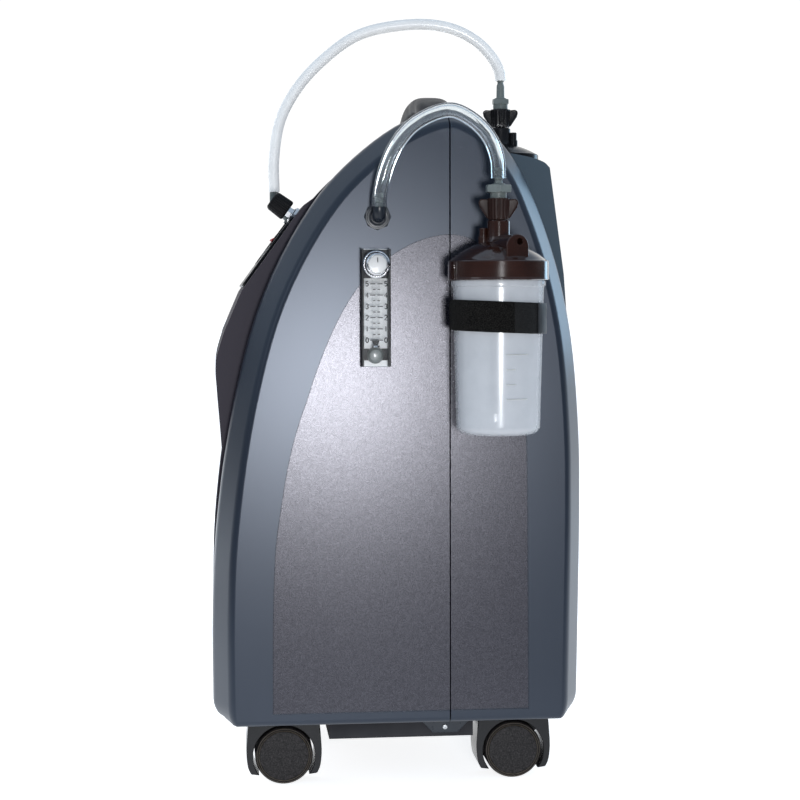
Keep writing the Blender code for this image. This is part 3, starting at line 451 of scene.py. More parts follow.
def make_skins():
    skins = {}

    tint = (0.80, 0.87, 1.0, 1.0)
    slate = Skin("slate_gloss", (0.014, 0.019, 0.029), 0.30, 0.0, Specular_Tint=tint)
    slate.mottled(9.0, 0.10)
    # The box between the wings is moulded with a matt face. Its colour is painted darker at the front and paler
    # and bluer towards the back, as painted shade and painted reflected light.
    axes = slate.node("ShaderNodeSeparateXYZ", Vector=slate.place).outputs
    across = slate.node("ShaderNodeMath", operation="ABSOLUTE", Value=axes["X"]).outputs[0]
    wing = slate.ramp(across, *BOX_EDGE, 0.0, 1.0)
    for socket, matt, gloss in (("Roughness", 0.60, 0.31), ("Specular IOR Level", 0.12, 0.48)):
        slate.put(socket, slate.ramp(wing, 0.0, 1.0, matt, gloss))
    # Painted light: the box's colour runs from painted shade at the front to painted reflected light at the
    # back.
    painted_light_towards_back = slate.ramp(axes["Y"], *BOX_PAINTED_LIGHT_SPAN, 0.0, 1.0)
    box_painted_light_colour = slate.mix(painted_light_towards_back, BOX_FRONT_PAINTED_SHADE, BOX_REAR_PAINTED_LIGHT)
    painted = slate.shader.inputs["Base Color"].links[0].from_socket
    slate.put("Base Color", slate.mix(wing, box_painted_light_colour, painted))
    slate.bump(slate.grain(1400.0, 2.0), 0.00003, 0.25)
    skins["slate"] = slate

    grained = Skin("slate_grained", (0.014, 0.015, 0.023), 0.28, 0.0, Specular_Tint=(0.92, 0.91, 1.0, 1.0))
    sparkle = grained.ramp(grained.cells(950.0, output="Color"), 0.15, 0.95, 0.0, 1.0)
    grained.put("Base Color", grained.mix(sparkle, (0.009, 0.0092, 0.014), (0.019, 0.0185, 0.026)))
    grained.put("Specular IOR Level", grained.ramp(sparkle, 0.0, 1.0, 0.50, 0.70))
    grained.put("Roughness", grained.ramp(grained.grain(1100.0, 2.0), 0.3, 0.7, 0.25, 0.30))
    grained.bump(grained.cells(1300.0), 0.00016, 0.08)
    grained.bump(grained.grain(900.0, 3.0), 0.00006, 0.10)
    skins["grained"] = grained

    for key, name, colour, roughness, metallic, inputs, mottle, bumps, edges in PLAIN_SKINS:
        skin = Skin(name, colour, roughness, metallic, **inputs)
        skin.mottled(*mottle)
        if bumps:
            scale, detail, distance, strength, *stretch = bumps
            skin.bump(skin.grain(scale, detail, stretch=stretch[0] if stretch else None), distance, strength)
        if edges:
            skin.worn(*edges)
        skins[key] = skin

    acrylic = Skin("clear_acrylic", (0.30, 0.32, 0.33), 0.12, 0.0, Alpha=0.06, Specular_IOR_Level=0.10)
    acrylic.put("Alpha", acrylic.ramp(acrylic.grain(160.0, 3.0), 0.35, 0.75, 0.04, 0.08))
    acrylic.bump(acrylic.grain(90.0, 2.0), 0.00002, 0.2)
    skins["acrylic"] = acrylic

    hose = Skin("clear_hose", (0.93, 0.96, 0.97), 0.05, 0.0, Transmission_Weight=0.96, IOR=1.42)
    hose.put("Roughness", hose.ramp(hose.grain(60.0, 3.0), 0.35, 0.75, 0.01, 0.05))
    hose.bump(hose.grain(60.0, 2.0), 0.00003, 0.15)
    skins["hose"] = hose

    # The rear hose glows faintly white: painted light that makes it read paler.
    cloudy = Skin("cloudy_hose", (0.93, 0.93, 0.92), 0.24, 0.0, Transmission_Weight=0.12,
                  Emission_Strength=0.07)
    cloudy.put("Emission Color", (1.0, 1.0, 0.98, 1.0))
    cloudy.mottled(45.0, 0.04)
    cloudy.bump(cloudy.grain(140.0, 3.0), 0.0001, 0.25)
    skins["cloudy"] = cloudy

    milky = Skin("milky_jar", (0.78, 0.80, 0.83), 0.22, 0.0, Alpha=0.36, Coat_Weight=0.5, Coat_Roughness=0.10)
    milky.put("Alpha", milky.ramp(milky.grain(60.0, 4.0), 0.3, 0.7, 0.345, 0.375))
    milky.bump(milky.grain(120.0, 2.0, stretch=(1.0, 1.0, 0.15)), 0.00005, 0.2)
    skins["milky"] = milky

    tube = Skin("milky_tube", (0.36, 0.38, 0.40), 0.32, 0.0, Transmission_Weight=0.35, IOR=1.4)
    tube.mottled(80.0, 0.05)
    tube.bump(tube.cells(1600.0), 0.00012, 0.3)
    skins["tube"] = tube

    strap = Skin("hook_and_loop", (0.0075, 0.0072, 0.0070), 0.95, 0.0, Sheen_Weight=0.02, Sheen_Roughness=0.5,
                 Specular_IOR_Level=0.05)
    strands = strap.grain(1500.0, 4.0, 0.75)
    strap.put("Base Color", strap.mix(strap.ramp(strands, 0.45, 0.72, 0.0, 1.0), (0.0008, 0.0008, 0.0008),
                                      (0.034, 0.032, 0.029)))
    strap.bump(strands, 0.0005, 0.9)
    skins["strap"] = strap

    hooks = Skin("hook_tape", (0.006, 0.006, 0.0062), 0.60, 0.0, Specular_IOR_Level=0.2)
    grid = hooks.cells(1150.0, stretch=(1.0, 1.0, 1.0))
    hooks.put("Base Color", hooks.mix(hooks.ramp(grid, 0.1, 0.6, 0.0, 1.0), (0.009, 0.009, 0.009),
                                      (0.002, 0.002, 0.002)))
    hooks.bump(grid, 0.0004, 0.8)
    skins["hooks"] = hooks

    wheel = Skin("caster_wheel", (0.007, 0.0065, 0.007), 0.55, 0.0, Specular_IOR_Level=0.2)
    scuffs = wheel.ramp(wheel.grain(700.0, 6.0, 0.8), 0.45, 0.72, 0.0, 1.0)
    wheel.put("Base Color", wheel.mix(scuffs, (0.0030, 0.0028, 0.0030), (0.046, 0.040, 0.042)))
    wheel.put("Roughness", wheel.ramp(wheel.grain(300.0, 4.0), 0.3, 0.7, 0.42, 0.66))
    wheel.bump(wheel.cells(620.0), 0.00035, 0.55)
    skins["wheel"] = wheel

    board = Skin("circuit_board", (0.015, 0.12, 0.045), 0.40, 0.0, Coat_Weight=0.3)
    tracks = board.ramp(board.cells(190.0, "DISTANCE_TO_EDGE", "Distance"), 0.02, 0.05, 0.0, 1.0)
    board.put("Base Color", board.mix(tracks, (0.05, 0.26, 0.10), (0.010, 0.085, 0.032)))
    board.bump(tracks, 0.0001, 0.4)
    skins["board"] = board

    foam = Skin("filter_foam", (0.050, 0.050, 0.054), 0.95, 0.0, Sheen_Weight=0.2)
    pores = foam.cells(620.0)
    foam.put("Base Color", foam.mix(foam.ramp(pores, 0.05, 0.6, 0.0, 1.0), (0.012, 0.012, 0.013),
                                    (0.085, 0.085, 0.090)))
    foam.bump(pores, 0.0012, 0.9)
    skins["foam"] = foam

    segments = Skin("display_segments", (0.20, 0.26, 0.22), 0.4, 0.0, Emission_Strength=0.25)
    segments.put("Emission Color", (0.45, 0.85, 0.55, 1.0))
    segments.mottled(400.0, 0.1)
    skins["segments"] = segments

    glass = Skin("display_glass", (0.016, 0.024, 0.024), 0.07, 0.0, Coat_Weight=0.8, Coat_Roughness=0.03)
    glass.put("Roughness", glass.ramp(glass.grain(90.0, 4.0), 0.3, 0.7, 0.05, 0.13))
    glass.bump(glass.grain(60.0, 2.0), 0.00002, 0.15)
    skins["glass"] = glass
    return {name: skin.material for name, skin in skins.items()}


SKINS = make_skins()

# ---------------------------------------------------------------- camera, lights and floor

CAMERA_AT = Vector((1.6719, -0.1546, 0.4239))
CAMERA_YAW, CAMERA_PITCH, CAMERA_ROLL = 0.1003, 0.0589, -0.0025
LENS = 81.68


def make_camera():
    camera = bpy.data.objects.new("camera", bpy.data.cameras.new("camera"))
    bpy.context.scene.collection.objects.link(camera)
    camera.data.lens = LENS
    camera.data.sensor_width = 36.0
    camera.data.clip_start, camera.data.clip_end = 0.05, 100.0
    ahead = Vector((-math.cos(CAMERA_YAW) * math.cos(CAMERA_PITCH),
                    math.sin(CAMERA_YAW) * math.cos(CAMERA_PITCH), -math.sin(CAMERA_PITCH)))
    turn = ahead.to_track_quat("-Z", "Y").to_matrix() @ Matrix.Rotation(CAMERA_ROLL, 3, "Z")
    camera.matrix_world = Matrix.Translation(CAMERA_AT + SHIFT) @ turn.to_4x4()
    bpy.context.scene.camera = camera


def make_light(name, at, towards, size, power, colour, mirrored):
    data = bpy.data.lights.new(name, "AREA")
    data.shape = "RECTANGLE"
    data.size, data.size_y = size
    data.energy = power
    data.color = colour
    light = bpy.data.objects.new(name, data)
    bpy.context.scene.collection.objects.link(light)
    light.visible_glossy = mirrored
    light.location = Vector(at) + SHIFT
    light.rotation_euler = (Vector(towards) - Vector(at)).to_track_quat("-Z", "Y").to_euler()


# Name, place, aim, size, power, colour and whether glossy surfaces mirror it.
LIGHTS = [
    ("key", (1.80, 0.03, 0.29), (0.16, -0.06, 0.36), (0.20, 0.20), 15.0, (0.97, 0.98, 1.0), True),
    ("front_soft", (1.2, -1.9, 1.2), (0.0, 0.0, 0.3), (0.8, 1.0), 2.5, (0.90, 0.95, 1.0), True),
    ("front_fill", (-1.7, -1.6, 1.1), (0.0, 0.0, 0.35), (1.0, 1.0), 40.0, (0.94, 0.97, 1.0), False),
    ("rear_window", (-1.3, 1.8, 0.90), (0.1, 0.1, 0.48), (0.7, 1.0), 8.0, (0.50, 0.76, 1.0), True),
]
ROOM_LOW, ROOM_HIGH, BACKDROP = (0.07, 0.075, 0.085, 1.0), (0.42, 0.52, 0.64, 1.0), (1.05, 1.05, 1.05, 1.0)


def make_stage():
    world = bpy.data.worlds.new("studio")
    bpy.context.scene.world = world
    world.use_nodes = True
    nodes, links = world.node_tree.nodes, world.node_tree.links
    way = nodes.new("ShaderNodeTexCoord").outputs["Generated"]
    split = nodes.new("ShaderNodeSeparateXYZ")
    links.new(way, split.inputs[0])

    def ramp(source, numbers):
        made = nodes.new("ShaderNodeMapRange")
        made.interpolation_type = "SMOOTHSTEP"
        for socket, number in zip(RANGE_SOCKETS, numbers):
            made.inputs[socket].default_value = number
        links.new(source, made.inputs["Value"])
        return made.outputs["Result"]

    mix = nodes.new("ShaderNodeMix")
    mix.data_type = "RGBA"
    links.new(ramp(split.outputs["X"], (-0.90, -0.60, 1.0, 0.0)), mix.inputs[0])
    sky = nodes.new("ShaderNodeMix")
    sky.data_type = "RGBA"
    links.new(ramp(split.outputs["Z"], (-0.02, 0.35, 0.0, 1.0)), sky.inputs[0])
    sky.inputs[6].default_value, sky.inputs[7].default_value = ROOM_LOW, ROOM_HIGH
    links.new(sky.outputs[2], mix.inputs[6])
    mix.inputs[7].default_value = BACKDROP
    links.new(mix.outputs[2], nodes["Background"].inputs["Color"])
    bpy.context.scene.view_settings.view_transform = "Standard"
    floor = bpy.data.objects.new("floor", box((-30.0, -30.0, -0.02), (30.0, 30.0, 0.0)))
    bpy.context.scene.collection.objects.link(floor)
    paper = Skin("floor_paper", (0.80, 0.80, 0.80), 0.8)
    axes = paper.node("ShaderNodeSeparateXYZ", Vector=paper.place).outputs
    # The floor glows behind the object as painted light, and fades towards the viewer and in front of the
    # object, where its colour is also painted darker as painted shade.
    behind = paper.ramp(axes["X"], -1.00, -0.50, 1.0, 0.0)
    glow = paper.node("ShaderNodeMath", operation="MAXIMUM", Value=behind)
    paper.tree.links.new(paper.ramp(axes["Y"], -1.90, -0.45, 0.0, 1.0), glow.inputs[1])
    away = paper.ramp(axes["X"], 0.20, 0.90, 1.0, 0.0)
    lit = paper.node("ShaderNodeMath", operation="MULTIPLY", Value=away)
    paper.tree.links.new(glow.outputs[0], lit.inputs[1])
    paper.put("Emission Color", (1.0, 1.0, 1.0, 1.0))
    paper.put("Emission Strength", paper.ramp(lit.outputs[0], 0.0, 1.0, 0.0, 0.80))
    paper.put("Base Color", paper.mix(lit.outputs[0], (0.22, 0.22, 0.23), (0.80, 0.80, 0.80)))
    floor.data.materials.append(paper.material)
    for light in LIGHTS:
        make_light(*light)


make_camera()
make_stage()

# ---------------------------------------------------------------- hoses

SIDE_HOSE_R, SIDE_BORE, REAR_HOSE_R, REAR_BORE = 0.00625, 0.0037, 0.0050, 0.0033
HOSE_STUB = 0.006
SIDE_HOSE = [(0.1780, -0.0210, 0.4948), (0.1780, -0.0209, 0.5020), (0.1796, -0.0162, 0.5240),
             (0.1830, -0.0074, 0.5445), (0.1880, 0.0078, 0.5621), (0.1960, 0.0346, 0.5724),
             (0.2000, 0.0504, 0.5663), (0.2030, 0.0656, 0.5515), (0.2040, 0.0730, 0.5330),
             (0.2040, 0.0740, 0.5166)]
REAR_HOSE = [(0.0, -0.1016, 0.5163), (0.0, -0.1016, 0.5465), (0.0, -0.0960, 0.5802), (0.0, -0.0809, 0.6093),
             (0.0, -0.0564, 0.6364), (0.0, -0.0225, 0.6599), (0.0, 0.0284, 0.6697), (0.0, 0.0613, 0.6664),
             (0.0, 0.0850, 0.6550), (0.0, 0.1010, 0.6385), (0.0, 0.1072, 0.6250), (0.0, 0.1075, 0.6190)]


def hose_path(route, spacing=0.0025):
    """The route as a smooth curve, with points at even distances and a straight stub at each end."""
    fine = [Vector(p) for p in smooth(route, 16)]
    path, travelled, target = [fine[0], fine[0] + Vector((0.0, 0.0, HOSE_STUB * 0.5))], 0.0, HOSE_STUB
    total = sum((b - a).length for a, b in zip(fine, fine[1:]))
    for a, b in zip(fine, fine[1:]):
        step = (b - a).length
        while travelled + step >= target and target < total - HOSE_STUB:
            path.append(a.lerp(b, (target - travelled) / step))
            target += spacing
        travelled += step
    path += [fine[-1] + Vector((0.0, 0.0, HOSE_STUB * 0.5)), fine[-1]]
    return path, total


def make_hose(name, route, radius, bore, skin):
    path, length = hose_path(route)
    piece = add(name + "_tube", sweep(path, radius, 28, bore), skin, slot="hose", stands_for=[name])
    world_path = [tuple(p + SHIFT) for p in path]
    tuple(world_path[0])
    return length


def barbed(radius, low, high, teeth):
    """A hose barb along Z: a stem with rings that are steep on one side."""
    pitch = (high - low) / teeth
    profile = [(0.0, low)]
    for i in range(teeth):
        z = low + pitch * i
        profile += [(radius * 0.80, z), (radius, z + pitch * 0.12), (radius, z + pitch * 0.25),
                    (radius * 0.82, z + pitch * 0.98)]
    return lathe(profile + [(0.0, high)], 32)


make_hose("side_hose", SIDE_HOSE, SIDE_HOSE_R, SIDE_BORE, SKINS["hose"])
make_hose("rear_hose", REAR_HOSE, REAR_HOSE_R, REAR_BORE, SKINS["cloudy"])

# ---------------------------------------------------------------- casing

WALL = 0.003
SEAM_Y, SEAM_GAP = 0.040, 0.0008
BOTTOM, CORNER = 0.058, 0.020
WING_INNER, WING_RIM, WING_FACE, CHAMFER = 0.110, 0.130, 0.160, 0.015
ARCH = [(-0.1605, BOTTOM + CORNER), (-0.1605, 0.150), (-0.1570, 0.222), (-0.1412, 0.331), (-0.1154, 0.4226),
        (-0.0741, 0.4987), (-0.0389, 0.5380), (0.0058, 0.5697), (0.0430, 0.5800), (0.0740, 0.5665),
        (0.1038, 0.5303), (0.1184, 0.4996), (0.1365, 0.4460), (0.1490, 0.3860), (0.1560, 0.3050),
        (0.1571, 0.2400), (0.1560, 0.1500), (0.1548, BOTTOM + CORNER)]
SLOPE = math.radians(53.8)
FACET_LOW, FACET_HIGH = (-0.1335, 0.4260), (-0.0798, 0.4994)
NOSE = [(-0.1500, BOTTOM), (-0.1500, 0.2600), (-0.1525, 0.3050), (-0.1552, 0.3400), (-0.1560, 0.3640),
        (-0.1490, 0.3901)]
CROWN = [(-0.0635, 0.5110), (-0.0380, 0.5300), (-0.0050, 0.5445), (0.0300, 0.5490), (0.0980, 0.5445),
         (0.1280, 0.5370), (0.1335, 0.5320)]
BACK = [(0.1460, 0.4400), (0.1500, 0.3850), (0.1500, BOTTOM)]
REAR_Y = 0.150
FILTER_HOLE = ((-0.0850, 0.2350), (0.0050, 0.3450))
VENT_HOLE = ((-0.0850, 0.0850), (0.0050, 0.1750))
INLET_HOLE = ((0.0450, 0.0900), (0.0750, 0.1120))
BREAKER_AT = (0.0600, REAR_Y, 0.1400)
PANEL_MID = Vector((0.0, -0.1108, 0.45705))
SWITCH_AT, SWITCH_HOLE = (0.060, 0.0215), (0.0068, 0.0106)
VALVE_AT, OUTLET_AT = (0.050, 0.0435), (0.0, 0.0435)
METER_Y, METER_HALF_Y, METER_LOW, METER_HIGH = -0.0234, 0.0119, 0.3626, 0.4606
PEG_INSET = 0.012
SIDE_OUTLET_AT = Vector((WING_FACE, -0.0210, 0.4872))
ALCOVE_HALF, ALCOVE_FRONT, ALCOVE_FLOOR = 0.043, 0.066, 0.4137
STRAP_LOW, STRAP_HIGH, STRAP_SLOT = 0.3920, 0.4169, 0.0270
STRAP_SLOT_HALF, STRAP_ROOM = 0.0035, 0.001
BOTTLE_Y = 0.0740

# The grained field on each wing's face, in (Y, Z), clockwise from its front bottom corner.
FIELD = [(-0.1109, 0.0697), (-0.1101, 0.1633), (-0.1075, 0.2143), (-0.1033, 0.2444), (-0.0966, 0.2828),
         (-0.0882, 0.3146), (-0.0815, 0.3338), (-0.0731, 0.3589), (-0.0579, 0.3957), (-0.0411, 0.4249),
         (-0.0250, 0.4440), (-0.0092, 0.4560), (0.0085, 0.4659), (0.0236, 0.4712), (0.0412, 0.4734),
         (0.0572, 0.4700), (0.0710, 0.4590), (0.0830, 0.4380), (0.0915, 0.4110), (0.0985, 0.3740),
         (0.1030, 0.3400), (0.1055, 0.3021), (0.1068, 0.2000), (0.1076, 0.0697)]
FIELD_GROOVE, FIELD_DEPTH = 0.0007, 0.0007


def on_facet(across, up, out):
    """A point in the case's frame, from its place on the sloping face."""
    along = Vector((0.0, math.cos(SLOPE), math.sin(SLOPE)))
    normal = Vector((0.0, -math.sin(SLOPE), math.cos(SLOPE)))
    return PANEL_MID + Vector((across, 0.0, 0.0)) + along * up + normal * out


FACET_TURN = Matrix.Rotation(SLOPE, 3, "X")
OUTWARD = on_facet(0, 0, 1) - on_facet(0, 0, 0)


def halves(mesh):
    """The part of a mesh on each side of the casing's joint."""
    far, above = 0.3, 0.7
    parts = []
    for start, stop in ((-far, SEAM_Y - SEAM_GAP / 2), (SEAM_Y + SEAM_GAP / 2, far)):
        parts.append(combine(mesh, box((-far, start, 0.0), (far, stop, above)), "INTERSECT"))
    return parts


def strap_slots():
    """Cutters for the two slots that the strap goes through."""
    slots = []
    for side in (-1, 1):
        y = BOTTLE_Y + side * STRAP_SLOT
        slots.append(box((0.150, y - STRAP_SLOT_HALF, STRAP_LOW - STRAP_ROOM),
                         (0.170, y + STRAP_SLOT_HALF, STRAP_HIGH + STRAP_ROOM)))
    return slots


def wing_outline(side, lower, steps):
    """A wing in (Y, Z), drawn in by side along the arch and by lower along its bottom."""
    curve = smooth(ARCH, steps)
    (front, level), rear = ARCH[0], ARCH[-1][0]
    rear_corner = arc((rear - CORNER, level), (CORNER - side, CORNER - lower), 0, -90, 8)
    front_corner = arc((front + CORNER, level), (CORNER - side, CORNER - lower), 270, 180, 8)
    return drawn_in(curve, side) + rear_corner[1:] + front_corner[:-1]


def curve3(a, b, c, steps):
    """Points on the arc-like curve from a to c that leaves and arrives along the lines to b."""
    a, b, c = Vector(a), Vector(b), Vector(c)
    return [a.lerp(b, t).lerp(b.lerp(c, t), t) for t in (i / steps for i in range(steps + 1))]


def wing(side):
    """(X, how far the outline is drawn in, and the same at the bottom), from the inner face outwards."""
    inner = curve3((WING_INNER, 0.0025, 0.002), (WING_INNER, 0.0, 0.0), (WING_INNER + 0.0025, 0.0, 0.0), 3)
    rim = curve3((WING_RIM - 0.004, 0.0, 0.0), (WING_RIM, 0.0, 0.0), (WING_RIM + 0.004, 0.0020, 0.0), 4)
    edge = curve3((WING_FACE - 0.0055, 0.01225, 0.0006), (WING_FACE, CHAMFER, 0.0022),
                  (WING_FACE, CHAMFER + 0.0042, 0.0065), 5)
    return loft([[(side * x, y, z) for y, z in wing_outline(d, low, 5)] for x, d, low in inner + rim + edge])


def wing_hollow(side):
    """The space inside a wing."""
    rings = []
    for x, d in ((WING_INNER + WALL, WALL), (WING_RIM - 0.0015, WALL), (WING_FACE - WALL, CHAMFER + WALL)):
        curve = drawn_in(smooth(ARCH, 3), d)
        ends = [(curve[-1][0], BOTTOM - CORNER), (curve[0][0], BOTTOM - CORNER)]
        rings.append([(side * x, y, z) for y, z in curve + ends])
    return loft(rings)


def centre_outline(steps):
    """The centre box from its side, in (Y, Z)."""
    return smooth(NOSE, steps) + [FACET_LOW] + smooth([FACET_HIGH] + CROWN, steps) + BACK


def tray_outline(spare):
    """The base tray's outline in (X, Y), with some room around it."""
    wide, narrow = 0.1530 + spare, 0.1300
    front, back = -0.1460 - spare, 0.1455 + spare
    return [(-wide, front + 0.006), (-narrow, front), (narrow, front), (wide, front + 0.006),
            (wide, back - 0.0095), (narrow, back), (-narrow, back), (-wide, back - 0.0095)]


def casing():
    """The whole shell with its alcove and the recesses for the grained fields, before it is split."""
    half = WING_INNER + 0.001
    outer = join(prism(centre_outline(5), -half, half), wing(1), wing(-1))
    link = box((-WING_RIM, -0.120, BOTTOM - CORNER), (WING_RIM, 0.125, 0.400))
    floor = prism(tray_outline(0.0003), BOTTOM - CORNER, 0.0900, "z")
    inner = drawn_in(centre_outline(2), WALL)
    ends = [(inner[-1][0], BOTTOM - CORNER), (inner[0][0], BOTTOM - CORNER)]
    centre = prism(inner + ends, -WING_INNER + WALL, WING_INNER - WALL)
    hollow = join(centre, wing_hollow(1), wing_hollow(-1), link, floor)
    past_rear, past_top = 0.2, 0.6
    keep = box((-ALCOVE_HALF - WALL, ALCOVE_FRONT - WALL, ALCOVE_FLOOR - WALL),
               (ALCOVE_HALF + WALL, past_rear, past_top))
    alcove = box((-ALCOVE_HALF, ALCOVE_FRONT, ALCOVE_FLOOR), (ALCOVE_HALF, past_rear, past_top))
    field = smooth(FIELD, 4)
    recesses = [prism(field, *sorted((side * (WING_FACE - FIELD_DEPTH), side * (WING_FACE + 0.01))))
                for side in (1, -1)]
    return cut(outer, cut(hollow, keep), alcove, *recesses)


def seam_softened(mesh, plane):
    """Rounds the shell's edges along the joint."""
    bm = bmesh.new()
    bm.from_mesh(mesh)
    bmesh.ops.remove_doubles(bm, verts=bm.verts, dist=MERGE)
    edges = [e for e in bm.edges if all(abs(v.co.y - plane) < 1e-5 for v in e.verts)
             and len(e.link_faces) == 2 and e.calc_face_angle(0.0) > math.radians(40)]
    bmesh.ops.bevel(bm, geom=edges, offset=0.0007, segments=2, profile=0.5, affect="EDGES",
                    clamp_overlap=True)
    return mesh_of(bm)


def make_casing():
    front, rear = halves(casing())
    front = seam_softened(front, SEAM_Y - SEAM_GAP / 2)
    rear = seam_softened(rear, SEAM_Y + SEAM_GAP / 2)

    for across, up in (VALVE_AT, OUTLET_AT):
        front = cut(front, bore(0.0045, OUTWARD, on_facet(across, up, 0), 0.008))
    half_x, half_s = SWITCH_HOLE
    switch_hole = box((-half_x, -half_s, -0.01), (half_x, half_s, 0.01))
    front = cut(front, moved(switch_hole, Matrix.Translation(on_facet(*SWITCH_AT, 0)) @ FACET_TURN.to_4x4()))
    front = cut(front, bore(0.0060, LEFT, SIDE_OUTLET_AT))
    for z in (METER_LOW + PEG_INSET, METER_HIGH - PEG_INSET):
        front = cut(front, bore(0.0040, LEFT, (WING_FACE, METER_Y, z), sides=24))
    add("casing_front", front, SKINS["slate"], slot="casing", stands_for=["front_shell"], sharp=30.0)

    for low, high in (FILTER_HOLE, VENT_HOLE, INLET_HOLE):
        rear = cut(rear, box((low[0], 0.13, low[1]), (high[0], 0.17, high[1])))
    rear = cut(rear, bore(0.0048, REARWARD, BREAKER_AT), *strap_slots())
    add("casing_rear", rear, SKINS["slate"], slot="casing", stands_for=["rear_shell"], sharp=30.0)


def make_fields():
    """The grained panels, each in two halves that meet at the casing's joint."""
    outline = inset(smooth(FIELD, 4), FIELD_GROOVE)
    for side, word in ((1, "left"), (-1, "right")):
        low, high = sorted((side * (WING_FACE - FIELD_DEPTH + 0.0001), side * WING_FACE))
        slab = prism(outline, low, high)
        if side > 0:
            room = 0.0002
            meter_hole = box((0.15, METER_Y - METER_HALF_Y - room, METER_LOW - room),
                             (0.17, METER_Y + METER_HALF_Y + room, METER_HIGH + room))
            slab = cut(slab, meter_hole, *strap_slots())
        for half, part in zip(("front", "rear"), halves(slab)):
            part = rounded(part, 0.00025, 2, 50.0)
            add(f"grained_field_{word}_{half}", part, SKINS["grained"], slot="casing", sharp=40.0)


TAB_SCREW = (0.0376, 0.0515)


def make_seam_brackets():
    """A pressed tab under each wing, which ties both shells to the base."""
    outline = [(0.0159, BOTTOM + 0.0005), (0.0602, BOTTOM + 0.0005), (0.0483, 0.0465), (0.0270, 0.0465)]
    tabs = []
    for side in (1, -1):
        low, high = sorted((side * 0.1405, side * 0.1420))
        tab = rounded(prism(outline, low, high), 0.0005, 2)
        hole = bore(0.0016, LEFT, (side * 0.1412, *TAB_SCREW), sides=24)
        tabs.append(cut(tab, hole))
    add("seam_brackets", gather(*tabs), SKINS["nut"], slot="metal")


GRIP_AT = (0.0370, 0.5680)


def make_handle():
    """The bowed grip bar, with a softened section and a shallow finger ridge under it."""
    rings = []
    half, steps = WING_INNER - 0.0003, 48
    bow, half_deep, half_high = 0.0240, 0.0155, 0.0085
    ridge_reach, ridge_pitch, ridge_depth = 0.072, 0.018, 0.0005
    for i in range(steps + 1):
        x = -half + 2 * half * i / steps
        lift = bow * (1.0 - abs(x / half) ** 2.6)
        section = []
        for k in range(steps):
            a = 2 * math.pi * k / steps
            c, s = math.cos(a), math.sin(a)
            y = half_deep * math.copysign(abs(c) ** 0.62, c)
            z = half_high * math.copysign(abs(s) ** 0.72, s)
            if s < -0.5 and abs(x) < ridge_reach:
                z += ridge_depth * (1.0 + math.cos(x * 2 * math.pi / ridge_pitch)) * (-s - 0.5)
            section.append((x, GRIP_AT[0] + y, GRIP_AT[1] + lift + z))
        rings.append(section)
    add("grip_bar", loft(rings), SKINS["charcoal"], slot="handle", stands_for=["carry_handle"], sharp=60.0)


make_casing()
make_fields()
make_seam_brackets()
make_handle()

# ---------------------------------------------------------------- control slope

PANEL_TOP = 0.0025
WINDOW_AT, WINDOW_HALF = (-0.020, 0.008), (0.034, 0.015)
BUTTON_R, ROCKER_REST = 0.0046, math.radians(-7.0)
PLUS_AT, MINUS_AT = (0.033, 0.020), (0.033, 0.002)
DIGIT_TALL, DIGIT_STEP = 0.0125, 0.0092
LIT = {"0": "abcdef", "1": "bc", "2": "abged", "5": "afgcd"}


def round_box(half_x, half_y, corner, low, high, edge, at=(0.0, 0.0)):
    """A plate about Z with rounded corners in plan and softened edges."""
    outline = []
    for x, y, start in ((1, 1, 0), (-1, 1, 90), (-1, -1, 180), (1, -1, 270)):
        centre = (at[0] + x * (half_x - corner), at[1] + y * (half_y - corner))
        outline += arc(centre, corner, start, start + 90, 6)
    return rounded(prism(outline, low, high, "z"), edge, 3, 60.0)


def nut_mesh(radius, low, high, sides, hole=0.0):
    """A nut with its corners chamfered towards both faces."""
    body = rod(radius, low, high, sides)
    drop = (high - low) * 0.16
    cone = lathe([(0.0, low), (radius * 0.90, low), (radius * 1.02, low + drop), (radius * 1.02, high - drop),
                  (radius * 0.90, high), (0.0, high)], 48)
    body = rounded(combine(body, cone, "INTERSECT"), 0.0002, 2, 25.0)
    return cut(body, rod(hole, low - 0.01, high + 0.01, 32)) if hole else body


def digit_bars(digit, x, y, tall):
    """The lit bars of a seven-bar digit."""
    wide, half = tall * 0.5, tall * 0.045
    level = {"a": tall, "g": tall / 2, "d": 0.0}
    upright = {"f": (0.0, 1), "b": (wide, 1), "e": (0.0, 0), "c": (wide, 0)}
    bars = []
    for key in LIT[digit]:
        if key in level:
            low, high = (half * 1.4, level[key] - half), (wide - half * 1.4, level[key] + half)
        else:
            px, up = upright[key]
            low, high = (px - half, up * tall / 2 + half * 1.4), (px + half, (up + 1) * tall / 2 - half * 1.4)
        bars.append(box((x + low[0], y + low[1], 0.0023), (x + high[0], y + high[1], 0.00252)))
    return bars


def place(name, mesh, skin, at=(0.0, 0.0), out=0.0, **options):
    """A new piece that stands on the sloping face."""
    return add(name, mesh, SKINS[skin], at=on_facet(*at, out), turn=FACET_TURN, **options)


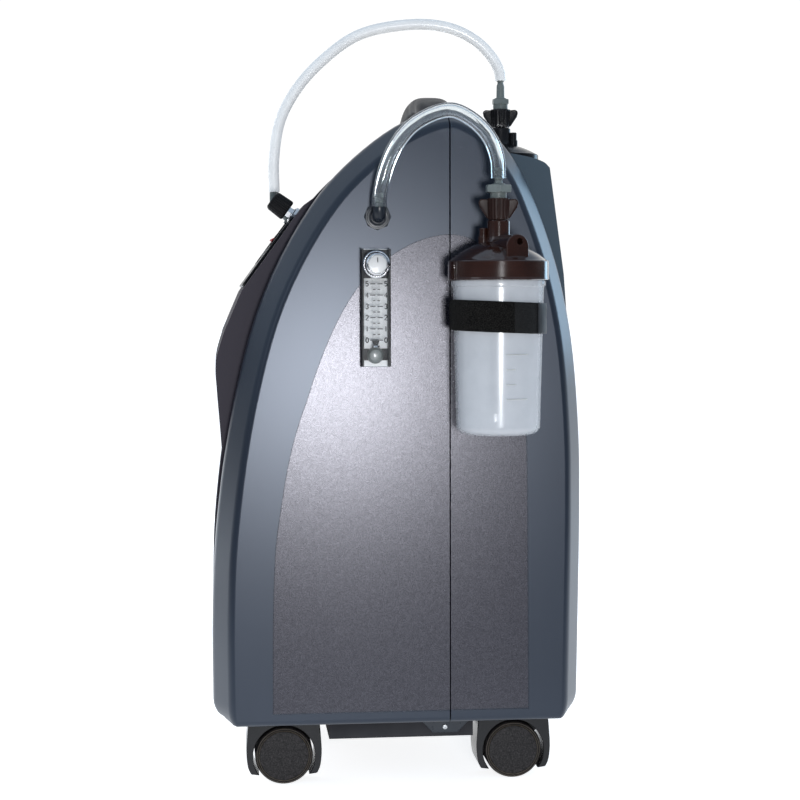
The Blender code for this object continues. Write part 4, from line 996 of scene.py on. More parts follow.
def make_panel():
    """The slab with its window, the lit digits behind it, and the trims."""
    (wx, ws), (sx, ss) = WINDOW_AT, SWITCH_AT
    ww, wh = WINDOW_HALF
    panel = round_box(0.085, 0.0345, 0.005, 0.0, PANEL_TOP, 0.0007)
    half_x, half_s = SWITCH_HOLE
    panel = cut(panel, round_box(ww + 0.0004, wh + 0.0004, 0.0024, 0.0013, 0.01, 0.0002, WINDOW_AT),
                box((sx - half_x, ss - half_s, -0.01), (sx + half_x, ss + half_s, 0.01)),
                shifted(rod(BUTTON_R + 0.0004, -0.01, 0.01), *PLUS_AT, 0.0),
                shifted(rod(BUTTON_R + 0.0004, -0.01, 0.01), *MINUS_AT, 0.0))
    place("panel_slab", panel, "panel", slot="panel", stands_for=["control_panel"])
    collar = cut(round_box(0.0088, 0.0126, 0.002, PANEL_TOP - 0.0002, 0.0035, 0.0005),
                 box((-0.0066, -0.0104, -0.01), (0.0066, 0.0104, 0.01)))
    place("rocker_collar", collar, "black", SWITCH_AT)
    sunk = PANEL_TOP - 0.0002
    rims = [shifted(lathe([(0.0052, sunk), (0.0062, sunk), (0.0060, 0.0029), (0.0054, 0.0029)]), *spot, 0.0)
            for spot in (PLUS_AT, MINUS_AT)]
    frame_ring = cut(round_box(ww + 0.0018, wh + 0.0018, 0.0032, sunk, 0.0030, 0.0002, WINDOW_AT),
                     round_box(ww - 0.0006, wh - 0.0006, 0.002, 0.0, 0.01, 0.0001, WINDOW_AT))
    place("panel_trims", gather(frame_ring, *rims), "charcoal")
    window = round_box(ww, wh, 0.0022, 0.0014, 0.0024, 0.0003, WINDOW_AT)
    place("window_glass", window, "glass", slot="display", stands_for=["display_window"])
    bars = []
    for digits, start in (("0125", wx - 0.029), ("50", wx + 0.014)):
        for i, digit in enumerate(digits):
            bars += digit_bars(digit, start + i * DIGIT_STEP, ws - 0.008, DIGIT_TALL)
    place("window_bars", gather(*bars), "segments")


def make_buttons():
    """The two timer buttons with their signs, and the rocker switch."""
    for name, at, arms in (("plus_button", PLUS_AT, 2), ("minus_button", MINUS_AT, 1)):
        cap = button(BUTTON_R, 0.0009, 0.0031, 0.0007)
        sign = [box((-0.0020, -0.00035, 0.0025), (0.0020, 0.00035, 0.00335)),
                box((-0.00035, -0.0020, 0.0025), (0.00035, 0.0020, 0.00335))][:arms]
        place(name + "_cap", join(cap, *sign), "pale", at, body=name, slot="button", stands_for=[name])
    profile = [(-0.0093, -0.0035), (0.0093, -0.0035), (0.0097, 0.0), (0.0094, 0.0034)]
    profile += [(y, 0.0014 + 0.0020 * (y / 0.0093) ** 2) for y in (0.0090 - 0.0018 * i for i in range(11))]
    rocker = rounded(prism(profile + [(-0.0094, 0.0034), (-0.0097, 0.0)], -0.0062, 0.0062), 0.0005, 3, 35.0)
    ridges = [box((-0.0045, y - 0.0002, 0.0018), (0.0045, y + 0.0002, 0.0018 + 0.0019 * (y / 0.0093) ** 2))
              for y in (-0.0082, -0.0072, -0.0062, 0.0062, 0.0072, 0.0082)]
    rocker = moved(gather(rocker, *ridges), Matrix.Rotation(ROCKER_REST, 4, "X"))
    place("rocker", rocker, "red", SWITCH_AT, 0.0012, body="power_switch", slot="switch_red",
          stands_for=["power_switch"])


def make_valve():
    """The chromed flange, and the knob with its stem and its mark."""
    flange = lathe([(0.0047, 0.0), (0.0080, 0.0), (0.0080, 0.0022), (0.0077, 0.0026), (0.0068, 0.0030),
                    (0.0066, 0.0034), (0.0047, 0.0034)])
    place("valve_collar", flange, "chrome", VALVE_AT, stands_for=["valve_flange"], slot="chrome")
    ribs = 26

    def grip_flute(a, z):
        if 0.008 < z < 0.0235:
            return 1.0 - 0.045 * (0.5 - 0.5 * math.cos(a * ribs)) ** 2
        return 1.0 - 0.02

    grip = lathe([(0.0, 0.0076), (0.0084, 0.0076), (0.0092, 0.0084), (0.0095, 0.0096), (0.0089, 0.0224),
                  (0.0082, 0.0243), (0.0068, 0.0252), (0.0056, 0.0252), (0.0050, 0.0247), (0.0, 0.0247)],
                 ribs * 6, flute=grip_flute)
    place("valve_grip", grip, "black", VALVE_AT, body="valve_knob", slot="knob_black",
          stands_for=["valve_knob"])
    stem = join(rod(0.0040, -0.0060, 0.0045), nut_mesh(0.0050, 0.0038, 0.0080, 6))
    place("valve_stem", stem, "chrome", VALVE_AT, body="valve_knob")
    mark = rounded(box((-0.0004, 0.0012, 0.0240), (0.0004, 0.0048, 0.02515)), 0.0002, 2)
    place("valve_mark", mark, "pale", VALVE_AT, body="valve_knob")


def make_outlets():
    """The front elbow with its nut and barb, and the larger one on the side."""
    corner = on_facet(*OUTLET_AT, 0.0204)
    start = on_facet(*OUTLET_AT, -0.0065)
    pipe = sweep(bend(start, corner, (0.0, corner.y, 0.5160), 0.0060), 0.0042, 32)
    nut = moved(nut_mesh(0.0090, 0.0001, 0.0045, 6), aim(OUTWARD, on_facet(*OUTLET_AT, 0.0)))
    collar = turned([(0.0040, 0.0), (0.0056, 0.0), (0.0058, 0.0006), (0.0052, 0.0030), (0.0040, 0.0030)],
                    OUTWARD, on_facet(*OUTLET_AT, 0.0045))
    barb = shifted(barbed(0.0032, 0.5155, 0.5285, 4), 0.0, corner.y, 0.0)
    add("front_elbow", gather(join(pipe, nut, collar), barb), SKINS["fitting"], slot="fitting",
        stands_for=["front_outlet"], sharp=40.0)

    at = SIDE_OUTLET_AT
    corner = Vector((0.178, at.y, at.z))
    pipe = sweep(bend((0.1520, at.y, at.z), corner, (corner.x, at.y, 0.4945), 0.0062), 0.0054, 32)
    nut = nut_mesh(0.0112, 0.0001, 0.0036, 8)
    lip = lathe([(0.0050, 0.0030), (0.0092, 0.0030), (0.0090, 0.0042), (0.0076, 0.0045), (0.0066, 0.0040),
                 (0.0050, 0.0040)])
    add("side_elbow", join(pipe, moved(join(nut, lip), aim(LEFT, at))), SKINS["nut"],
        slot="fitting_dark", stands_for=["side_outlet"], sharp=40.0)
    barb = shifted(barbed(0.0036, 0.4935, 0.5060, 3), corner.x, at.y, 0.0)
    add("side_barb", barb, SKINS["fitting"], sharp=40.0)


# ---------------------------------------------------------------- side flowmeter

METER_BACK, METER_FACE, METER_BORE_X, METER_KNOB_Z = 0.1618, 0.1760, 0.1690, 0.4475
SCALE_ZERO, SCALE_PITCH, FLOAT_Z = 0.3850, 0.00930, 0.3824
DIGITS = {0: [arc((0.0, 0.5), (0.28, 0.5), 90, 450, 16)], 1: [[(0.0, 1.0), (0.0, 0.0)]],
          2: [arc((0.0, 0.74), 0.27, 170, -40, 8) + [(-0.29, 0.0), (0.30, 0.0)]],
          3: [arc((0.0, 0.75), 0.25, 150, -80, 8) + arc((0.0, 0.26), 0.27, 80, -150, 9)],
          4: [[(0.14, 0.0), (0.14, 1.0), (-0.30, 0.30), (0.32, 0.30)]],
          5: [[(0.26, 1.0), (-0.20, 1.0), (-0.24, 0.54)] + arc((0.0, 0.32), 0.30, 130, -145, 10)]}


def make_meter_block():
    """The clear block with its bore, the scale plate behind it and the small parts inside."""
    y, low, high = METER_Y, METER_LOW, METER_HIGH
    block = rounded(box((METER_BACK, y - METER_HALF_Y, low), (METER_FACE, y + METER_HALF_Y, high)), 0.0009, 3)
    float_bore = shifted(lathe([(0.0, 0.3789), (0.0030, 0.3789), (0.0036, METER_KNOB_Z), (0.0, METER_KNOB_Z)]),
                         METER_BORE_X, y, 0.0)
    stem_hole = moved(rod(0.0046, -0.0125, 0.0050), aim(LEFT, (METER_FACE, y, METER_KNOB_Z)))
    add("meter_block", cut(block, float_bore, stem_hole), SKINS["acrylic"], slot="clear",
        stands_for=["flowmeter_body"])
    plate = rounded(box((WING_FACE - 0.0004, y - METER_HALF_Y, low),
                        (METER_BACK - 0.0003, y + METER_HALF_Y, high)), 0.0004, 2)
    pegs = [moved(rod(0.0035, -0.005, 0.0005), aim(LEFT, (WING_FACE, y, z)))
            for z in (low + PEG_INSET, high - PEG_INSET)]
    add("meter_plate", join(plate, *pegs), SKINS["scale"], slot="scale", stands_for=["flowmeter_scale"])
    # Dark strips inside the block's sides are painted shade, standing for how its machined sides look dark
    # against the plate, and a black band crosses it under the scale.
    edges = [rounded(box((METER_BACK + 0.0004, middle - 0.0009, low + 0.0004),
                         (METER_FACE - 0.0010, middle + 0.0009, high - 0.0004)), 0.0002, 1)
             for middle in (y - 0.0112, y + 0.0112)]
    back, half_band = METER_BACK - 0.0002, 0.0105
    band = box((back, y - half_band, low + 0.0052), (METER_BACK + 0.0009, y + half_band, low + 0.0150))
    top_band = box((back, y - half_band, high - 0.0245), (METER_BACK + 0.0006, y + half_band, high - 0.0006))
    add("meter_shade_strips_and_band", gather(*edges, band), SKINS["black"])
    add("meter_top_foil", top_band, SKINS["charcoal"])
    plug = turned([(0.0, 0.0), (0.0072, 0.0), (0.0066, 0.0028), (0.0048, 0.0048), (0.0, 0.0058)],
                  LEFT, (METER_BACK + 0.0010, y, low + 0.0095))
    add("meter_plug", plug, SKINS["fitting"])
    seat = lathe([(0.0, -0.0060), (0.0034, -0.0060), (0.0032, -0.0046), (0.0012, -0.0040), (0.0, -0.0040)])
    seat = shifted(seat, METER_BORE_X, y, 0.3849)
    add("meter_seat", seat, SKINS["chrome"])
    drop = lathe([(0.0, -0.0030), (0.0006, -0.0029), (0.0014, -0.0024), (0.0030, 0.0018), (0.0031, 0.0024),
                  (0.0029, 0.0028), (0.0, 0.0028)])
    add("float_cone", drop, SKINS["black_gloss"], body="flowmeter_float", slot="float",
        at=(METER_BORE_X, y, FLOAT_Z), stands_for=["flowmeter_float"])


def make_meter_marks():
    """Ticks with a half step between them, and the digits 0 to 5 on both sides of the bore."""
    y, marks, face = METER_Y, [], METER_FACE + 0.00002
    for n in range(6):
        z = SCALE_ZERO + SCALE_PITCH * n
        for side in (-1, 1):
            for step, reach in ((0.0, 0.0052), (0.5, 0.0030)):
                if n < 5 or step == 0.0:
                    level = z + SCALE_PITCH * step
                    a, b = sorted((y + side * 0.0008, y + side * reach))
                    marks.append(box((face - 0.0001, a, level - 0.00042), (face + 0.00006, b, level + 0.00042)))
            for line in DIGITS[n]:
                path = [(face, y + side * 0.0078 + px * 0.0036, z + (pz - 0.5) * 0.0040) for px, pz in line]
                marks.append(sweep(path, 0.00043, 6))
    add("meter_marks", gather(*marks), SKINS["ink"])


def make_meter_knob():
    """The chromed bezel and knob, with the knob's pale cap and its mark."""
    turn, knob_at = Matrix.Rotation(math.radians(90), 3, "Y"), (METER_FACE, METER_Y, METER_KNOB_Z)
    ring = lathe([(0.0100, 0.0), (0.0116, 0.0), (0.0118, 0.0006), (0.0112, 0.0022), (0.0104, 0.0026),
                  (0.0100, 0.0022)])
    add("meter_bezel", ring, SKINS["chrome"], at=knob_at, turn=turn)

    ribs = 36

    def knob_flute(a, z):
        return 1.0 - (0.02 * (0.5 - 0.5 * math.cos(a * ribs)) if 0.002 < z < 0.0100 else 0.0)

    knob = lathe([(0.0, -0.0050), (0.0042, -0.0050), (0.0042, 0.0006), (0.0092, 0.0006), (0.0096, 0.0012),
                  (0.0096, 0.0098), (0.0093, 0.0110), (0.0086, 0.0118), (0.0080, 0.0120), (0.0077, 0.0116),
                  (0.0, 0.0116)], ribs * 4, flute=knob_flute)
    add("meter_knob_ring", knob, SKINS["chrome"], body="flowmeter_knob", slot="chrome", turn=turn,
        at=knob_at, stands_for=["flowmeter_knob"])
    cap = lathe([(0.0, 0.0112), (0.0076, 0.0112), (0.0076, 0.0119), (0.0070, 0.0124), (0.0, 0.0128)])
    line = rounded(box((-0.0055, -0.0004, 0.0122), (-0.0014, 0.0004, 0.0130)), 0.0002, 1)
    add("meter_knob_cap", cap, SKINS["pale"], body="flowmeter_knob", turn=turn, at=knob_at)
    add("meter_knob_line", line, SKINS["ink"], body="flowmeter_knob", turn=turn, at=knob_at)


# ---------------------------------------------------------------- humidifier bottles

SIDE_BOTTLE = {"name": "side", "at": (0.204, BOTTLE_Y, 0.0), "rim": 0.4500, "lid_r": 0.0410, "jar_r": 0.0372,
               "base": 0.3085, "dome": 0.0146, "skirt": 0.0158, "neck": 0.0180, "nut": 0.0170,
               "hex_r": 0.0113, "hex": 0.0062, "barb_r": 0.0044, "barb": 0.0050, "spout": 0.0355,
               "boss": 0.0098,
               "spout_turn": 17.0, "nut_turn": 84.0, "post": (-0.0030, -0.0120),
               "hose_bore": SIDE_BORE}
REAR_BOTTLE = {"name": "rear", "at": (0.0, 0.1075, 0.0), "rim": 0.5512, "lid_r": 0.0350, "jar_r": 0.0318,
               "base": 0.4145, "dome": 0.0082, "skirt": 0.0155, "neck": 0.0160, "nut": 0.0165,
               "hex_r": 0.0082, "hex": 0.0047, "barb_r": 0.0042, "barb": 0.0165, "spout": 0.0305,
               "boss": 0.0083,
               "spout_turn": 175.0, "nut_turn": 80.0, "post": (0.0030, 0.0115),
               "hose_bore": REAR_BORE}
NECK_R, THREAD = 0.0093, 0.0050


def lid_mesh(b):
    """The lid with its skirt, threaded neck, outlet spout and relief post."""
    rim, r, dome, half = b["rim"], b["lid_r"], b["dome"], b["boss"]
    neck_low, neck_top, foot = rim + dome, rim + dome + b["neck"], rim - b["skirt"]
    top = [(r - 0.0014 - (r - 0.0125) * i / 14, rim + dome * (1 - (1 - i / 14) ** 1.6)) for i in range(15)]
    screw = []
    for i in range(6):
        z = neck_top + 0.0086 - i * 0.0014
        screw += [(0.0042, z), (0.0046, z - 0.0004), (0.0046, z - 0.0007), (0.0042, z - 0.0011)]
    neck = [(0.0, neck_top + 0.0092)] + screw + [(0.0045, neck_top), (NECK_R - 0.0008, neck_top),
                                                 (NECK_R, neck_top - 0.0008), (NECK_R, neck_low + 0.0050),
                                                 (NECK_R + 0.0006, neck_low + 0.0022),
                                                 (NECK_R + 0.0022, neck_low + 0.0006)]
    inner, ceiling = r - 0.0022, rim - 0.0022 + dome * 0.5
    skirt = [(r - 0.0006, rim - 0.0002), (r, rim - 0.0010), (r, foot + 0.0022), (r + 0.0003, foot + 0.0016),
             (r + 0.0003, foot + 0.0005), (r - 0.0004, foot), (inner, foot), (inner, rim - 0.0040),
             (inner * 0.8, rim - 0.0022), (0.0120, ceiling), (0.0, ceiling)]
    lid = lathe(neck + top[::-1] + skirt, 96)
    shape = arc((0.0, rim + half * 1.1), half, 0, 180, 24) + [(-half, rim - 0.0005), (half, rim - 0.0005)]
    spout = b["spout"]
    boss = rounded(prism(shape, 0.004, spout), 0.0008, 3, 50.0)
    way = aim(LEFT, (0.0, half * 0.15, rim + half * 1.5))
    boss = cut(boss, moved(rod(0.0028, spout - 0.012, spout + 0.01), way))
    seat = moved(lathe([(0.0029, spout - 0.0010), (0.0040, spout - 0.0010), (0.0038, spout + 0.0007),
                        (0.0029, spout + 0.0007)]), way)
    boss = moved(join(boss, seat), Matrix.Rotation(math.radians(b["spout_turn"]), 4, "Z"))
    (px, py), post_top = b["post"], neck_low + 0.0120
    post = shifted(join(button(0.0032, rim + dome * 0.4, post_top, 0.0006, 32),
                        button(0.0040, rim + dome * 0.4, post_top - 0.0070, 0.0005, 32)), px, py, 0.0)
    return join(lid, boss, post)


def jar_mesh(b):
    """A thin-walled jar that widens upwards, with a bead and a neck under the lid."""
    r, base, top, wall = b["jar_r"], b["base"], b["rim"] - b["skirt"], 0.0018
    foot, neck_r = r - 0.0028, b["lid_r"] - 0.0040
    corner = [(foot - 0.0075 + 0.0075 * math.sin(a), base + 0.0075 - 0.0075 * math.cos(a))
              for a in (math.radians(11.25 * i) for i in range(9))]
    outer = corner + [(r, top - 0.0060), (r + 0.0004, top - 0.0052), (r + 0.0013, top - 0.0046),
                      (r + 0.0015, top - 0.0030), (r + 0.0013, top - 0.0008), (neck_r, top - 0.0004),
                      (neck_r, top + 0.0095)]
    inner = [(neck_r - wall, top + 0.0095), (neck_r - wall, top), (r - wall, top - 0.0060)]
    inner += [(foot - wall - 0.0062 + 0.0062 * math.cos(a), base + wall + 0.0062 - 0.0062 * math.sin(a))
              for a in (math.radians(15 * i) for i in range(7))]
    push = [(foot * 0.62, base + wall + 0.0004), (foot * 0.50, base + wall + 0.0014),
            (0.0, base + wall + 0.0020)]
    under = [(0.0, base + 0.0012), (foot * 0.5, base + 0.0008), (foot * 0.62, base)]
    return lathe(under + outer + inner + push, 96)


def jar_marks_mesh(b):
    """Level lines printed on the jar, two long and two short."""
    taper, first, pitch = 0.0028, 0.030, 0.012
    marks = []
    for k, span in enumerate((30, 12, 12, 30)):
        z = b["base"] + first + k * pitch
        r = b["jar_r"] - taper + taper * (z - b["base"]) / (b["rim"] - b["skirt"] - b["base"]) + 0.0001
        marks.append(sweep([(*p, z) for p in arc((0.0, 0.0), r, 2, 2 + span, 12)], 0.00045, 8))
    return gather(*marks)


def dip_tube_mesh(b):
    """The tube under the lid, with the diffuser at its foot."""
    ceiling, foot = b["rim"] - 0.0022 + b["dome"] * 0.5 - 0.0003, b["base"] + 0.0165
    return lathe([(0.0, foot), (0.0040, foot), (0.0048, foot + 0.0006), (0.0052, foot + 0.0018),
                  (0.0052, foot + 0.0072), (0.0047, foot + 0.0076), (0.0047, foot + 0.0190),
                  (0.0042, foot + 0.0200), (0.0030, foot + 0.0215), (0.0030, ceiling - 0.012),
                  (0.0044, ceiling - 0.011), (0.0048, ceiling), (0.0, ceiling)])


def wing_nut_mesh(b, low, high):
    """A ribbed nut with two thin wings, whose broad faces are sunk inside a raised edge."""
    ribs = 20

    def nut_flute(a, z):
        return 1.0 - (0.05 * (0.5 - 0.5 * math.cos(a * ribs)) if low < z < high else 0.0)

    core = lathe([(0.0050, low), (0.0082, low), (0.0085, low + 0.0004), (0.0090, low + 0.0034),
                  (0.0094, high - 0.0010), (0.0090, high), (0.0050, high)], ribs * 8, flute=nut_flute)
    blade = [(0.0070, low + 0.0012), (0.0070, high - 0.0006), (0.0138, high - 0.0002),
             (0.0156, high - 0.0014), (0.0162, low + 0.0135), (0.0153, low + 0.0100), (0.0094, low + 0.0012)]
    half_thick, edge, sunk = 0.0019, 0.0014, 0.0007
    wings = []
    for side in (-1, 1):
        bm = bmesh.new()
        bm.from_mesh(prism([(side * x, z) for x, z in blade], -half_thick, half_thick, "y"))
        broad = sorted(bm.faces, key=lambda face: face.calc_area())[-2:]
        bmesh.ops.inset_individual(bm, faces=broad, thickness=edge, depth=-sunk)
        wings.append(rounded(mesh_of(bm), 0.0003, 2, 50.0))
    return moved(join(core, *wings), Matrix.Rotation(math.radians(b["nut_turn"]), 4, "Z"))


def nipple_mesh(b, nut_top):
    """The threaded stem in the wing nut, a hexagon on it and the barb that holds the hose."""
    hex_low = nut_top + THREAD
    hex_top = hex_low + b["hex"]
    end = hex_top + b["barb"] + 0.009
    stem = [(0.0, nut_top - 0.0070), (0.0046, nut_top - 0.0070), (0.0046, nut_top + 0.0004),
            (0.0066, nut_top + 0.0004)]
    for i in range(4):
        z = nut_top + 0.0006 + i * 0.0011
        stem += [(0.0066, z), (0.0069, z + 0.0003), (0.0069, z + 0.0005), (0.0066, z + 0.0008)]
    r = b["barb_r"]
    collar = [(0.0066, hex_low + 0.0003), (0.0, hex_low + 0.0003)]
    shank = lathe([(0.0, hex_top - 0.0005), (r * 1.25, hex_top - 0.0005), (r * 1.25, hex_top + 0.0008),
                   (r * 0.9, hex_top + 0.0014), (r * 0.84, end - 0.0130), (0.0, end - 0.0130)])
    body = join(lathe(stem + collar), nut_mesh(b["hex_r"], hex_low, hex_top, 6), shank)
    return gather(body, barbed(b["hose_bore"] * 0.97, end - 0.0135, end, 4))


def make_bottle(b, lid_skin, nut_skin, slot):
    name, at = b["name"], b["at"]
    low = b["rim"] + b["dome"] + b["neck"] + 0.0006
    high = low + b["nut"]
    add(name + "_lid_dome", lid_mesh(b), SKINS[lid_skin], slot=slot, at=at, stands_for=[name + "_lid"])
    add(name + "_jar_wall", jar_mesh(b), SKINS["milky"], body=name + "_jar", slot="jar", at=at,
        stands_for=[name + "_jar"])
    add(name + "_jar_marks", jar_marks_mesh(b), SKINS["pale"], body=name + "_jar", at=at)
    add(name + "_dip_stem", dip_tube_mesh(b), SKINS["tube"], slot="tube", at=at,
        stands_for=[name + "_dip_tube"])
    add(name + "_nut_wings", wing_nut_mesh(b, low, high), SKINS[nut_skin], body=name + "_wing_nut",
        slot=slot, at=at, stands_for=[name + "_wing_nut"], sharp=40.0)
    add(name + "_barb_stem", nipple_mesh(b, high), SKINS["fitting"], slot="fitting", at=at,
        stands_for=[name + "_nipple"], sharp=40.0)


# ---------------------------------------------------------------- strap

STRAP_STEP, STRAP_LEAN = 0.0008, -0.0016


def make_strap():
    """Hook tape from slot to slot, with loop tape pressed on its front part and a sewn end at the rear."""
    cx, cy = SIDE_BOTTLE["at"][:2]
    wall = WING_FACE - 0.0038

    def route(radius):
        reach = math.hypot(WING_FACE - cx, STRAP_SLOT)
        touch = math.degrees(math.atan2(STRAP_SLOT, WING_FACE - cx) - math.acos(radius / reach))
        round_jar = arc((cx, cy), radius, -touch, touch, 72)
        return [(wall, cy - STRAP_SLOT)] + round_jar + [(wall, cy + STRAP_SLOT)]

    def tape(radius, thick, start, stop, fuzz, spread=0.0):
        """A piece of the band between two angles about the jar, cut across its width into strips."""
        fine, rows, across = [], [], 14
        for a, b in zip(route(radius), route(radius)[1:]):
            steps = max(1, int(math.dist(a, b) / STRAP_STEP))
            fine += [(a[0] + (b[0] - a[0]) * i / steps, a[1] + (b[1] - a[1]) * i / steps)
                     for i in range(steps)]
        fine.append(route(radius)[-1])
        kept = [p for p in fine if start <= math.degrees(math.atan2(p[1] - cy, p[0] - cx)) <= stop]
        for i, p in enumerate(kept):
            a, b = Vector(kept[max(i - 1, 0)]), Vector(kept[min(i + 1, len(kept) - 1)])
            way = (b - a).normalized()
            out = Vector((way.y, -way.x))
            angle = math.degrees(math.atan2(p[1] - cy, p[0] - cx))
            lean = STRAP_LEAN * math.sin(math.radians(max(-90, min(90, angle))))
            fade = max(0.0, min(1.0, (p[0] - WING_FACE - 0.004) / 0.02))
            ring = []
            outer_side = [(k / across, 1) for k in range(across + 1)]
            inner_side = [(1 - k / across, -1) for k in range(across + 1)]
            for level, sign in outer_side + inner_side:
                z = STRAP_LOW - spread + (STRAP_HIGH - STRAP_LOW + 2 * spread) * level + lean * fade
                edge = min(level, 1 - level) * across
                height = thick * (1.0 if edge >= 1 else 0.72) if sign > 0 else 0.0
                spot = Vector((p[0], p[1], z))
                if sign > 0:
                    height += fuzz * noise.fractal(spot * 900.0, 0.6, 2.2, 3)
                ring.append((p[0] + out.x * height, p[1] + out.y * height, z))
            rows.append(ring)
        return loft(rows)

    inner = SIDE_BOTTLE["jar_r"] + 0.0003
    length = sum(math.dist(a, b) for a, b in zip(route(inner), route(inner)[1:]))
    base = add("strap_hook_tape", tape(inner, 0.0011, -180, 180, 0.00006), SKINS["hooks"], slot="strap",
               stands_for=["bottle_strap"], sharp=60.0)
    over = inner + 0.0011
    loop = add("strap_loop_tape", tape(over, 0.0013, -180, 11.5, 0.00035), SKINS["strap"], sharp=60.0)
    end = add("strap_sewn_end", tape(over, 0.0008, 46, 92, 0.00012), SKINS["charcoal"], sharp=60.0)


# ---------------------------------------------------------------- casters

WHEEL_R, TRAIL, HOOD_TOP, HOOD_HALF = 0.0250, 0.018, 0.0575, 0.0190
CASTER_X, CASTER_Y = 0.105, 0.118


def hood_mesh(back):
    """A caster's hood with its web and swivel stem. back is 1 at the rear and -1 at the front, and the
    axle lies off the swivel, towards the middle of the object."""
    axle_y = -back * TRAIL
    around = arc((axle_y, WHEEL_R), WHEEL_R + 0.0018, -38, 218, 48)
    cover = smooth([(0.0285, 0.0095), (0.0310, 0.0150), (0.0325, 0.0270), (0.0318, 0.0420), (0.0306, 0.0535),
                    (0.0290, HOOD_TOP)], 4)
    outline = [(axle_y + y, z) for y, z in cover] + [(axle_y - y, z) for y, z in cover[::-1]] + around[::-1]
    hood = rounded(prism(outline, -HOOD_HALF, HOOD_HALF), 0.0022, 4, 50.0)
    top = HOOD_TOP - 0.0010
    web_top = [(axle_y + 0.0240, 0.0400), (axle_y + 0.0200, top), (axle_y - 0.0200, top),
               (axle_y - 0.0240, 0.0400)]
    web = prism(arc((axle_y, WHEEL_R), 0.0090, 180, 360, 24) + web_top, -0.0025, 0.0025)
    stem = lathe([(0.0, HOOD_TOP - 0.0025), (0.0090, HOOD_TOP - 0.0025), (0.0090, HOOD_TOP + 0.0012),
                  (0.0055, HOOD_TOP + 0.0022), (0.0055, 0.0835), (0.0045, 0.0850), (0.0, 0.0850)])
    hood = join(hood, rounded(web, 0.0005, 2, 50.0), stem)
    return cut(hood, bore(0.0031, LEFT, (0.0, axle_y, WHEEL_R), 0.02, 48))


def wheel_meshes():
    """The wheel about X with its inner face at 0, and the two bright lines round its outer face."""
    r, w = WHEEL_R, 0.0159
    tread = [(r - 0.0010, 0.0), (r - 0.0002, 0.0008), (r, 0.0020), (r, w - 0.0040), (r - 0.0004, w - 0.0026),
             (r - 0.0011, w - 0.0017)]
    face = [(0.0226, w - 0.0014), (0.0220, w - 0.0019), (0.0214, w - 0.0014), (0.0208, w - 0.0007),
            (0.0160, w - 0.0003), (0.0090, w), (0.0, w)]
    hub = [(0.0, 0.0115), (0.0031, 0.0115), (0.0031, 0.0), (0.0120, 0.0), (0.0125, 0.0020), (0.0205, 0.0020),
           (0.0210, 0.0)]
    body = lathe(hub + tread + face, 96)
    rings = [lathe([(q - 0.0004, w - 0.0026), (q - 0.0003, w - lift), (q, w - lift + 0.0002),
                    (q + 0.0003, w - lift), (q + 0.0004, w - 0.0026)], 96)
             for q, lift in ((0.0234, 0.0012), (0.0217, 0.0010))]
    face_way = aim(LEFT)
    return moved(body, face_way), moved(gather(*rings), face_way)


def make_casters():
    hoods = {back: hood_mesh(back) for back in (-1, 1)}
    wheel, rings = wheel_meshes()
    flip = Matrix.Rotation(math.pi, 3, "Z")
    for name, left, back in (("front_left", 1, -1), ("front_right", -1, -1), ("rear_left", 1, 1),
                             ("rear_right", -1, 1)):
        x, y = left * CASTER_X, back * CASTER_Y
        at = Vector((x, y - back * TRAIL, WHEEL_R))
        add(name + "_cover", hoods[back].copy(), SKINS["black_gloss"], body=name + "_caster", slot="caster",
            at=(x, y, 0.0), stands_for=[name + "_hood"])
        pin = turned([(0.0, -0.0135), (0.0026, -0.0135), (0.0030, -0.0131), (0.0030, 0.0131),
                      (0.0026, 0.0135), (0.0, 0.0135)], LEFT, sides=32)
        add(name + "_pin", pin, SKINS["steel"], body=name + "_caster", slot="steel", at=at,
            stands_for=[name + "_axle"])
        for place, way in (("outer", left), ("inner", -left)):
            node = name + "_wheel_" + place
            turn = None if way > 0 else flip
            spot = at + Vector((way * 0.0029, 0.0, 0.0))
            add(node + "_disc", wheel.copy(), SKINS["wheel"], body=node, slot="wheel", at=spot, turn=turn,
                stands_for=[node], sharp=40.0)
            add(node + "_rings", rings.copy(), SKINS["rim"], body=node, at=spot, turn=turn)


# ---------------------------------------------------------------- back wall

def screw(radius, high):
    """A cross-head screw about Z, sunk in at 0."""
    head = button(radius, -0.0015, high, high * 0.7, 32)
    arm, depth = radius * 0.16, high * 0.2
    return cut(head, box((-radius * 0.6, -arm, depth), (radius * 0.6, arm, 0.01)),
               box((-arm, -radius * 0.6, depth), (arm, radius * 0.6, 0.01)))


